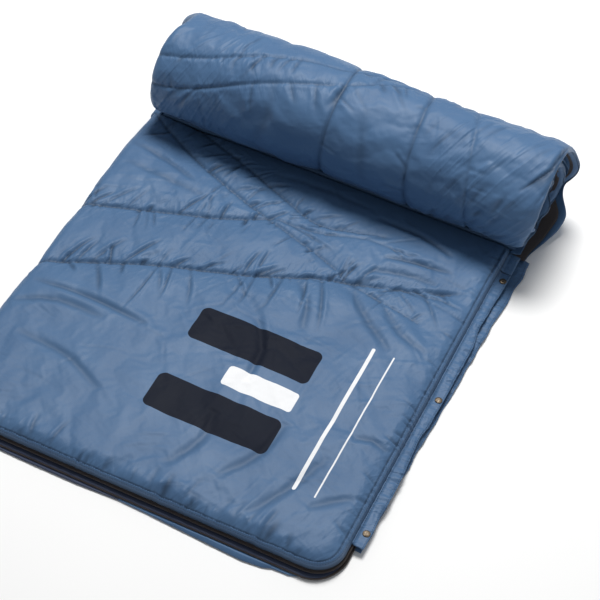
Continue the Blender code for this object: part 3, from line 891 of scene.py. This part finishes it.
def frilled_band(name, line, widths, heights, mat, thick, across=8):
    """A soft flat band of double cloth beside a line in plan.

    line is the inner edge's points; widths how far out it reaches at each; heights a function of
    (metres along, share across, plan points) giving its middle height.
    """
    run, share = np.meshgrid(along(line), np.linspace(0, 1, across), indexing="ij")
    width = widths[:, None] * share
    plan = line[:, None, :] + outward(line)[:, None, :] * width[..., None]
    x, y = plan[..., 0], plan[..., 1]
    z = heights(run, share, plan)
    half = half_thick(thick, share)
    return slab(name, joined(x, y, z + half), joined(x, y, z - half), mat, joined(run, width))


def edge_line(offset, left_x, far_y, step=2.5 * MM):
    """Plan points along the leaf's edge moved out by offset: near edge, rounded corner, right side."""
    near = np.arange(left_x, CORNER[0], step)
    near = joined(near, np.full(near.shape, NEAR_Y - offset))
    turns = np.radians(np.linspace(-90, 0, 26))
    corner = CORNER + (CORNER_RADIUS + offset) * joined(np.cos(turns), np.sin(turns))
    return np.concatenate([near, corner, at_x(SEAM_X + offset, np.arange(CORNER[1] + step, far_y, step))])


def ripples(run, share, size, seed, pace=0.03):
    """Small gathers across a sewn band, stronger at its free edge."""
    bend = waves(run, 0 * run, pace, seed, 8) + 0.5 * waves(run, share * 0.01, pace / 3, seed + 1, 8)
    return size * (0.25 + 0.75 * share) * bend


hem_line = edge_line(-2.0 * MM, FOLD_X + 1 * MM, STRIP_LOW.y - 4 * MM)
past_bend = smooth((hem_line[:, 0] - 0.27) / 0.04)
hem_width = (np.interp(hem_line[:, 0], HEM_X, HEM_REACH) + 2) * MM * (1 - past_bend) + 6 * MM * past_bend


def hem_height(run, share, plan):
    """The hem lies on the ground under the zip and puffs up a little outside it."""
    outside = smooth((NEAR_Y - plan[..., 1] - 13.2 * MM) / (3 * MM))
    puff = 4.6 * MM * outside * np.clip(1 - share, 0, 0.22) / 0.22
    return 1.6 * MM + puff + 0.7 * MM * outside * np.abs(waves(run, share * 0.004, 0.016, 81, 8))


lower_hem = frilled_band("lower_leaf_hem", hem_line, hem_width, hem_height, SHELL, 1.6 * MM, 18)
lower_hem.data.materials.append(LINING)
LINING_SHOWS_TO = -0.02
for face in lower_hem.data.polygons:
    if face.center.x < LINING_SHOWS_TO and face.center.y < NEAR_Y:
        face.material_index = 1
facing_line = edge_line(-2.0 * MM, FOLD_X + 1 * MM, STRIP_LOW.y - 6 * MM)
facing_turn = np.clip((CORNER[1] - facing_line[:, 1]) / CORNER_RADIUS, 0, 1)
lower_facing = frilled_band(
    "lower_leaf_facing",
    facing_line,
    4 * MM + 9 * MM * facing_turn**2,
    lambda run, share, plan: 4.9 * MM - 0.4 * MM * share + 0.25 * MM * waves(run, share * 0.004, 0.02, 82, 8),
    LINING,
    1.0 * MM,
    6,
)

# --- Snap placket: two soft strips that meet at each snap and gape between them ---
SNAPS = (1, 2, 3)
CAPS = [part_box(f"snap_cap_{number}") for number in SNAPS]
SNAP_Y = [(low.y + high.y) / 2 for low, high in CAPS]
SNAP_X = (CAPS[0][0].x + CAPS[0][1].x) / 2
UPPER_AT_SNAP = (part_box("snap_socket_1")[1].z + CAPS[0][0].z) / 2
LOWER_AT_SNAP = (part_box("snap_post_1")[1].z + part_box("snap_stud_1")[0].z) / 2


def to_snap(y):
    """0 at a snap, 1 well away from every one."""
    away = np.min([np.abs(y - s) for s in SNAP_Y], axis=0)
    return smooth((away - 7 * MM) / (45 * MM))


def upper_strip_height(run, share, plan):
    slack = to_snap(plan[..., 1])
    at_seam = smooth((SNAP_X - 7 * MM - plan[..., 0]) / (6 * MM))
    soft = slack * (0.4 * MM + ripples(run, share, 1.5 * MM, 83, 0.035)) * (0.4 + 0.6 * share)
    crown = 1.8 * MM * np.sin(math.pi * share) * slack
    fine = (0.15 + 0.85 * slack) * ripples(run, share, 0.9 * MM, 84, 0.012)
    return UPPER_AT_SNAP + soft + 3.6 * MM * at_seam + crown + fine


def upper_strip_width(y):
    below = np.min([np.where(y < s, s - y, 9.0) for s in SNAP_Y], axis=0)
    uneven = 1.2 * MM * to_snap(y) * waves(y, 0 * y, 0.07, 85, 6)
    return 20.5 * MM + uneven - 4.5 * MM * bell((below - 0.09) / 0.045)


def lower_strip_height(run, share, plan):
    slack = to_snap(plan[..., 1])
    beyond = 0.8 * MM * smooth((plan[..., 0] - SNAP_X - 5 * MM) / (10 * MM))
    swell = 3.2 * MM * np.sin(math.pi * share) + np.abs(ripples(run, share, 1.6 * MM, 86, 0.045))
    fine = (0.1 + 0.9 * slack) * np.abs(ripples(run, share, 1.2 * MM, 89, 0.013))
    return LOWER_AT_SNAP + 0.1 * MM + slack * (swell + beyond) + fine


def lower_strip_width(y):
    return 18 * MM + 25 * MM * smooth((y + 0.36) / 0.95) + 1.2 * MM * waves(y, 0 * y, 0.06, 87, 6)


def placket(name, x, low_y, high_y, width, heights, thick, across, gather):
    """A strip beside x, with its inner edge's line and its width at each point of that."""
    y = np.arange(low_y, high_y, 2 * MM)
    made = frilled_band(name, at_x(x, y), width(y), heights, SHELL, thick, across)
    mark(made, "gather", np.full(len(made.data.vertices), gather))
    return made, at_x(x, y), width(y)


UPPER_STRIP = (upper_strip_width, upper_strip_height, 1.5 * MM, 14, 0.7)
LOWER_STRIP = (lower_strip_width, lower_strip_height, 1.6 * MM, 16, 0.8)
upper_strip, strip_line, strip_width = placket(
    "upper_placket", STRIP_LOW.x, STRIP_LOW.y, STRIP_HIGH.y, *UPPER_STRIP
)
strip_end, end_line, end_width = placket(
    "upper_placket_end", STRIP_LOW.x, STRIP_HIGH.y + 1 * MM, LEAF_END_Y, *UPPER_STRIP
)
lower_strip, low_strip_line, low_width = placket(
    "lower_placket", LOWER_STRIP_LOW.x, LOWER_STRIP_LOW.y, LOWER_STRIP_HIGH.y + 5 * MM, *LOWER_STRIP
)


# --- Zip: woven tapes with nylon coils, round the corner and up the side ---
COIL_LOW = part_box("lower_zip_coil")[0]
ZIP_LEFT = COIL_LOW.x
# Each half of the zip: how much farther out its near part lies, and the y it runs to
LOWER_HALF = (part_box("upper_zip_coil")[0].y - COIL_LOW.y, LEAF_END_Y)
UPPER_HALF = (0.0, STRIP_HIGH.y)
TAPE_WIDE = 10.5 * MM


def zip_line(offset, near_shift, far_y):
    """The leaf's edge line with its near part moved farther out, easing off round the corner."""
    line = edge_line(offset, ZIP_LEFT, far_y)
    turn = np.clip((CORNER[1] - line[:, 1]) / CORNER_RADIUS, 0, 1)
    line[:, 1] -= near_shift * turn**2
    return line


def tape(name, offset, z, half, lift):
    line = zip_line(offset, *half)
    return frilled_band(
        name,
        line,
        np.full(len(line), TAPE_WIDE),
        lambda run, share, plan: z + lift * (1 - share) + 0.15 * MM * waves(run, 0 * run, 0.03, 88, 6),
        TAPE,
        0.6 * MM,
    )


def coil(name, offset, z, half):
    """A zip's coil: one helix of nylon along the tape's edge."""
    wide, high, pitch, sides = 1.25 * MM, 0.95 * MM, 2.0 * MM, 10
    line = zip_line(offset, *half)
    run = along(line)
    count = int(run[-1] / pitch * sides)
    at = np.linspace(0, run[-1], count)
    centre = joined(*(np.interp(at, run, line[:, k]) for k in (0, 1)))
    turn = 2 * math.pi * np.arange(count) / sides
    x, y = (centre + outward(centre) * (wide * np.cos(turn))[:, None]).T
    return tube(name, joined(x, y, z + high * np.sin(turn)), 0.36 * MM, COIL, 5)


def tube(name, points, radius, mat, sides):
    """A round tube along points, closed at both ends."""
    ahead = np.gradient(points, axis=0)
    ahead /= np.linalg.norm(ahead, axis=1, keepdims=True)
    side = np.cross(ahead, (0.0, 0.0, 1.0))
    side /= np.linalg.norm(side, axis=1, keepdims=True)
    up = np.cross(side, ahead)
    turns = (2 * math.pi * np.arange(sides) / sides)[:, None]
    spokes = np.cos(turns) * side[:, None] + np.sin(turns) * up[:, None]
    return swept(name, points[:, None] + radius * spokes, mat)


lower_tape = tape("lower_tape", -3 * MM, 3.3 * MM, LOWER_HALF, 0.0)
upper_tape = tape("upper_tape", -6.4 * MM, 9.9 * MM, UPPER_HALF, 5.5 * MM)
lower_coil = coil("lower_coil", 6.3 * MM, 4.9 * MM, LOWER_HALF)
upper_coil = coil("upper_coil", 3.6 * MM, 11.6 * MM, UPPER_HALF)


# --- Roll ---
def wound(x, turn, depth):
    """A point of the winding: turn in radians from the bottom up the back, below 0 on the flat run."""
    on = np.maximum(turn, 0)
    radius = ROLL_RADIUS - ROLL_PITCH * on / (2 * math.pi) - depth
    y = ROLL_AXIS_Y + radius * np.sin(on) + np.minimum(turn, 0) * ROLL_RADIUS
    return joined(x + 0 * y, y, np.maximum(ROLL_RADIUS - radius * np.cos(on), 0.0))


FOLD_MID = WRAP_THICK / 2
FOLD_AT = ROLL_LOW.x + FOLD_MID
# Right ends of the outer and inner wraps, and the inner one's left end
OUTER_END = 0.346
INNER_END = 0.330
INNER_START = FOLD_AT + 6 * MM
WIND_STEP = 0.08  # radians


def outer_section(end_x, count):
    """The outer wrap across its width: (x, depth, how much of the quilting shows).

    From the right seam over the outside to the left, round the fold, and back along the lining.
    """
    reach = 20 * MM
    rim = np.linspace(0, 0.5 * math.pi, 13)[:-1]
    fine_x = np.arange(end_x - reach, end_x - 60 * MM, -1.3 * MM)
    outside_x = np.concatenate([fine_x, np.linspace(fine_x[-1] - 2 * MM, FOLD_AT, count)])
    turn = np.linspace(0, math.pi, 15)[1:]
    back_x = np.linspace(FOLD_AT + 4 * MM, end_x - 8 * MM, 24)
    parts = (
        (end_x - reach * (1 - np.cos(rim)), 0.55 * OUTER_WRAP * (1 - np.sin(rim)), 0.3 + 0.7 * np.sin(rim)),
        (outside_x, 0 * outside_x, 0 * outside_x + 1),
        (FOLD_AT - FOLD_MID * np.sin(turn), FOLD_MID * (1 - np.cos(turn)), np.cos(turn / 2)),
        ([FOLD_AT + 3 * MM, FOLD_AT + 4 * MM], [WRAP_THICK, WRAP_THICK - 1 * MM], [0, 0]),
        (back_x, 0 * back_x + OUTER_WRAP, 0 * back_x),
        ([end_x - 2 * MM], [0.85 * OUTER_WRAP], [0]),
    )
    return [np.concatenate(values) for values in zip(*parts)]


sec_x, sec_depth, sec_show = outer_section(OUTER_END, 215)
panel_x = OUTER_END - along(joined(sec_x, sec_depth))
fine_turns = np.arange(0, 2 * math.pi * 1.06, 2.8 * MM / ARC)
coarse_turns = np.arange(fine_turns[-1] + WIND_STEP, 2 * math.pi * ROLL_TURNS, WIND_STEP)
flat_turns = np.linspace((ROLL_START_Y - ROLL_AXIS_Y) / ROLL_RADIUS, 0, 10)[:-1]
turns = np.concatenate([flat_turns, fine_turns, coarse_turns])


def end_swell(turn):
    """How far the roll's right end stands out: most over the back, less over the top, little in front."""
    over = smooth((turn - 1.2) / 0.9) * smooth((5.4 - turn) / 1.2)
    inner = smooth((turn - 6.0) / 0.5) * (6 * MM + 3 * MM * waves(turn * ARC, 0 * turn, 0.16, 97, 8))
    return 17 * MM * over + 27 * MM * bell((turn - 1.5) / 0.42) + inner + 11 * MM * bell((turn - 7.8) / 0.7)


def at_fold(x):
    """0 over most of the roll's width, rising to 1 at its folded side."""
    return smooth((-0.12 - x) / 0.2)


def drawn_in(x, turn):
    """How far a point of the roll moves in at its folded side: over its top and front, and its start."""
    top = 13 * MM * bell((turn - 2.75) / 0.6) + 28 * MM * smooth((turn - 1.6) / 0.8)
    start = 12 * MM * bell(np.maximum(turn, 0) / 0.8)
    return (top + start + 8 * MM * smooth((turn - 7.0) / 0.8)) * at_fold(x)


def wrap_points(turn, section_x, section_depth, show, across):
    """The outer wrap's points, their place on the panel, and their fine relief."""
    t, px = np.meshgrid(turn, across, indexing="ij")
    offset = sample(ROLL_SET, ROLL_BOX, px, np.clip(t * ARC, ROLL_BOX[2], ROLL_BOX[3]))
    fine = roll_fine(px, t * ARC)
    fine[t > 6.6] = 0
    slim = -8 * MM * at_fold(section_x) * bell((t - 2.9) / 1.0)
    lift = (offset[..., 2] + fine + slim) * show
    on_ground = np.clip(bell(t / 0.75) + (t < 0), 0, 1)
    lift = np.where(lift < 0, lift, lift * (1 - on_ground))
    near_end = smooth((section_x - 0.25) / 0.09)
    x = section_x + offset[..., 0] * show + end_swell(t) * near_end + drawn_in(section_x, t)
    points = wound(x, t, section_depth - lift)
    return points, joined(px, t * ARC), fine * show


outer_rings, outer_uv, outer_fine = wrap_points(turns, sec_x, sec_depth, sec_show, panel_x)
outer_x, outer_run = outer_uv[..., 0], outer_uv[..., 1]
roll_outer = swept("roll_outer_wrap", outer_rings, SHELL, outer_uv)
mark_painted_crease_shade(roll_outer, outer_fine)
diagonal = seam_depth(ROLL_SEAMS[3:], outer_x, outer_run, 0.024)
mark(roll_outer, "gather", 0.8 * diagonal * sec_show)
at_ends = np.maximum(smooth((outer_x - 0.13) / 0.06), 0.75 * smooth((-0.16 - outer_x) / 0.08))
mark(roll_outer, "drawn", at_ends * sec_show)
roll_outer.data.materials.append(LINING)


def squared(values, power):
    """Pushes a circle's sines or cosines out towards a square with round corners."""
    return np.copysign(np.abs(values) ** power, values)


around = 2 * math.pi * np.arange(40) / 40
inner_x = (INNER_END + INNER_START) / 2 + (INNER_END - INNER_START) / 2 * squared(np.cos(around), 0.12)
inner_depth = (WRAP_THICK + INNER_WRAP) / 2 + (WRAP_THICK - INNER_WRAP) / 2 * squared(np.sin(around), 0.5)
inner_turns = np.concatenate([flat_turns[1:], np.arange(0, 2 * math.pi * ROLL_TURNS, WIND_STEP)])
t, ix = np.meshgrid(inner_turns, inner_x, indexing="ij")
swell = end_swell(t) * 0.7 + 2.0 * MM * waves(t * ARC, 0 * t, 0.08, 91, 8)
ix = ix + drawn_in(ix, t) + smooth((ix - 0.28) / 0.05) * swell
roll_inner = swept("roll_inner_wrap", wound(ix, t, inner_depth + 0 * t), SHELL, joined(ix, t * ARC))


def wound_band(name, last, start_x, end_x, depth, mat, thick, seed, curl=0.0, size=1.0 * MM, slack=0.0):
    """A sewn strip wound with the roll at its right end, its free edge wavy; slack widens its start."""
    first = flat_turns[0] - 0.03
    t, share = np.meshgrid(np.arange(first, last, 0.035), np.linspace(0, 1, 9), indexing="ij")
    reach = (end_x - start_x) * (1 - 0.7 * smooth((t - 0.5) / 0.5))
    reach += slack * smooth((t - first) / 1.15) * smooth((1.25 - t) / 0.6)
    x = start_x + reach * share + end_swell(t) + size * share * waves(t * ARC, 0 * t, 0.08, seed + 1, 8)
    deep = depth + curl * share**2 + size * share * waves(t * ARC, share * 0.01, 0.035, seed, 8)
    half = half_thick(thick, share)
    return slab(name, wound(x, t, deep - half), wound(x, t, deep + half), mat, joined(t * ARC, x))


FULL_TURN = 2 * math.pi * ROLL_TURNS - 0.05
roll_strip = wound_band(
    "roll_lower_placket", FULL_TURN, OUTER_END - 3 * MM, 0.353, 5.5 * MM, SHELL, 1.5 * MM, 101, 5 * MM,
    slack=30 * MM,
)
roll_inner_strip = wound_band(
    "roll_upper_placket", FULL_TURN, INNER_END - 4 * MM, 0.343, 21 * MM, SHELL, 1.5 * MM, 103, 4 * MM
)
roll_tape = wound_band(
    "roll_zip_tape", 3 * math.pi, INNER_END, 0.352, 13.4 * MM, TAPE, 0.7 * MM, 105, 0.0, 0.6 * MM,
    slack=20 * MM,
)


# --- Stitching ---
STITCH_LONG = 2.6 * MM
STITCH_PITCH = 4.0 * MM
STITCH_WIDE = 0.32 * MM
STITCH_HIGH = 0.25 * MM
# A stitch's rings: share of the way along it, share of its width, share of its height
STITCH_RINGS = ((0.0, 0.3, 0.0), (0.25, 1.0, 1.0), (0.75, 1.0, 1.0), (1.0, 0.3, 0.0))
STITCH_SIDES = 6


def stitch_row(line):
    """Stitches along a surface line: small tapered capsules, each a list of its rings."""
    run = along(line)

    def spot(s):
        return np.array([np.interp(s, run, line[:, c]) for c in range(3)])

    up = np.array((0.0, 0.0, 1.0))
    turns = 2 * math.pi * np.arange(STITCH_SIDES)[:, None] / STITCH_SIDES
    made = []
    for s in np.arange(STITCH_PITCH / 2, run[-1] - STITCH_PITCH / 2, STITCH_PITCH):
        a, b = spot(s - STITCH_LONG / 2), spot(s + STITCH_LONG / 2)
        side = np.cross(up, b - a)
        side /= np.linalg.norm(side)
        spokes = STITCH_WIDE * (np.cos(turns) * side + np.sin(turns) * up)
        made.append(
            [a + (b - a) * t + spokes * size + STITCH_HIGH * high * up for t, size, high in STITCH_RINGS]
        )
    return made


def stitched(name, lines):
    """One object with the rows of stitches along several surface lines."""
    points = np.array([stitch for line in lines for stitch in stitch_row(line)])
    count, rings = points.shape[:2]
    faces = [swept_faces(rings, STITCH_SIDES, k * rings * STITCH_SIDES) for k in range(count)]
    return piece(name, points, sum(faces, []), THREAD)


def leaf_row(points):
    line = curve_through(points, 3 * MM)
    line = line[(line[:, 0] > FOLD_X) & (line[:, 1] < LEAF_END_Y - 0.02)]
    return leaf_top(*line.T)


def sewn_line(offset):
    """Plan points along the sewn edge, offset out from it where it is at its full width."""
    edge, line = (edge_line(out, FOLD_X + 2 * MM, LEAF_END_Y - 4 * MM, 2.0 * MM) for out in (0.0, offset))
    return edge + (line - edge) * sewn_share(edge[:, 1:])


# The rib's outline: how far out and how far above the leaf's surface each of its points lies, in mm
WELT_OUT = (-7.4, -6.9, -6.1, -4.8, -3.2, -1.8, -0.8, 0.5, 1.5, 1.6, 0.4)
WELT_RISE = (-1.2, -0.9, 0.7, 1.6, 1.8, 1.2, 0.3, -0.7, -2.2, -4.4, -6.2)


def welt():
    """The sewn edge of the leaf: a firm flat rib between two rows of stitches."""
    rings, uv = [], []
    for out, rise in zip(WELT_OUT, WELT_RISE):
        x, y = sewn_line(out * MM).T
        z = leaf_top(np.minimum(x, SEAM_X), np.maximum(y, NEAR_Y))[:, 2]
        run = along(joined(x, y))
        rings.append(joined(x, y, z + rise * MM + 0.18 * MM * waves(run, 0 * run, 0.012, 95, 8)))
        uv.append(joined(run, 0 * run + rise * MM))
    made = swept("leaf_edge_welt", np.stack(rings, 1), SHELL, np.stack(uv, 1))
    # Painted shade: the rib's sides below its crown are darkened.
    sunk_shade = np.interp(WELT_RISE, (-1.0, 0.4), (1.0, 0.0)) * CREASE_SHADE_DEPTH
    mark_painted_crease_shade(made, -np.tile(sunk_shade, (len(rings[0]), 1)))
    return made


def strip_row(line, width, share, heights, high):
    """A line along a placket strip, at a share of its width and high above its middle."""
    run = along(line)
    plan = joined(line[:, 0] + width * share, line[:, 1])
    return joined(*plan.T, heights(run, share + 0 * run, plan) + high)


leaf_stitching = stitched("leaf_stitching", [leaf_row(points) for points, _, _ in LEAF_SEAMS[:5]])
leaf_welt = welt()
welt_lines = [leaf_top(*sewn_line(offset).T) + (0, 0, 0.9 * MM) for offset in (-5.6 * MM, -1.4 * MM)]
welt_stitching = stitched("leaf_edge_stitching", welt_lines)
upper_strip_stitching = stitched(
    "upper_placket_stitching",
    [strip_row(strip_line, strip_width, share, upper_strip_height, 0.75 * MM) for share in (0.12, 0.88)],
)
lower_strip_stitching = stitched(
    "lower_placket_stitching",
    [strip_row(low_strip_line, low_width, share, lower_strip_height, 0.8 * MM) for share in (0.1, 0.9)],
)

# --- Pieces baked in place or riding on the laid quilt, and which CAD nodes each stands for ---
ROOT, FLAP, STRIP = "laid_quilt", "corner_flap", "snap_placket"

# These keep their place in the frame's axes, with their transforms baked into their points
for obj in (upper_leaf, leaf_stitching, leaf_welt, welt_stitching, upper_tape, upper_coil):
    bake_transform(obj)
for obj in (
    lower_leaf, lower_hem, lower_facing, lower_strip, lower_strip_stitching, strip_end, lower_tape,
    lower_coil, roll_outer, roll_inner, roll_strip, roll_inner_strip, roll_tape,
):
    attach(obj, ROOT)
for obj in (upper_strip, upper_strip_stitching):
    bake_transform(obj)


def layers(*parts):
    return [f"{part}_{layer}" for part in parts for layer in ("shell", "batting", "lining")]


for obj, stands_for in (
    (upper_leaf, layers("upper_leaf", "corner_flap", "left_fold")),
    (lower_leaf, layers("lower_leaf")),
    (roll_outer, layers("roll_outer")),
    (roll_inner, layers("roll_inner")),
    (upper_strip, ["upper_placket_strip"]),
    (strip_end, ["upper_placket_roll_end"]),
    (lower_strip, ["lower_placket_strip"]),
    (lower_tape, ["lower_zip_tape"]),
    (lower_coil, ["lower_zip_coil"]),
    (upper_tape, ["upper_zip_tape", "upper_zip_tape_roll_end"]),
    (upper_coil, ["upper_zip_coil", "upper_zip_coil_roll_end"]),
    (roll_tape, ["roll_edge_zip_tape"]),
):
    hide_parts(*stands_for)


# --- Metal parts keep their CAD shape, with rounded edges ---
def metal(node, mat, width):
    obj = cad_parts[node]
    obj.data.materials.clear()
    obj.data.materials.append(mat)
    obj.data.polygons.foreach_set("use_smooth", [True] * len(obj.data.polygons))
    bevel = obj.modifiers.new("Edges", "BEVEL")
    bevel.width = width
    bevel.segments = 2
    bevel.limit_method = "ANGLE"
    bevel.angle_limit = math.radians(35)
    bevel.harden_normals = True


for number in SNAPS:
    for kind in ("post", "stud", "socket", "cap"):
        metal(f"snap_{kind}_{number}", SNAP, 0.12 * MM)
for node in ("zip_retainer_box", "zip_insertion_pin", "zip_slider_body", "zip_pull_tab"):
    metal(node, ZIP_METAL, 0.15 * MM)


# --- Floor, light and camera ---
def floor():
    low, far = -0.6 * MM, 6
    corners = [(-far, -far, low), (far, -far, low), (far, far, low), (-far, far, low)]
    mesh = mesh_of("studio_floor", corners, [range(4)])
    mesh.materials.append(FLOOR_PAPER)
    added("studio_floor", mesh)


def area_light(name, place, size, watts, colour):
    """A round light that faces the middle of the quilt."""
    data = bpy.data.lights.new(name, "AREA")
    data.shape = "DISK"
    data.size = size
    data.energy = watts
    data.color = colour
    obj = added(name, data)
    obj.location = place
    obj.rotation_euler = (Vector((0.0, 0.0, 0.05)) - Vector(place)).to_track_quat("-Z", "Y").to_euler()


def studio():
    floor()
    world = bpy.data.worlds.new("studio_light")
    world.use_nodes = True
    backdrop = world.node_tree.nodes["Background"]
    backdrop.inputs["Color"].default_value = (0.93, 0.96, 1.0, 1.0)
    backdrop.inputs["Strength"].default_value = 0.28
    bpy.context.scene.world = world
    area_light("key", (-0.22, 1.05, 2.75), 1.2, 91, (1.0, 0.99, 0.97))
    area_light("fill", (1.6, -1.2, 2.4), 1.6, 3, (0.95, 0.97, 1.0))
    bpy.context.scene.view_settings.view_transform = "Standard"


CAMERA_PLACE = (0.7742, -1.8720, 2.3793)
CAMERA_TURN = math.radians(20.6314)
CAMERA_DOWN = math.radians(49.3083)
CAMERA_ROLL = math.radians(5.8538)
CAMERA_LENS = 115.40


def camera():
    """Looks down on the quilt's near edge from its right, turned a little about its own line of sight."""
    level = Vector((math.cos(CAMERA_TURN), math.sin(CAMERA_TURN), 0))
    forward = Vector((-level.y, level.x, 0))
    ahead = forward * math.cos(CAMERA_DOWN) - Vector((0, 0, math.sin(CAMERA_DOWN)))
    above = level.cross(ahead)
    right = level * math.cos(CAMERA_ROLL) + above * math.sin(CAMERA_ROLL)
    up = above * math.cos(CAMERA_ROLL) - level * math.sin(CAMERA_ROLL)
    data = bpy.data.cameras.new("camera")
    data.sensor_width = 36
    data.lens = CAMERA_LENS
    data.clip_start = 0.05
    obj = added("camera", data)
    turned = Matrix((right, up, -ahead)).transposed().to_4x4()
    obj.matrix_world = Matrix.Translation(CAMERA_PLACE) @ turned
    bpy.context.scene.camera = obj


studio()
camera()
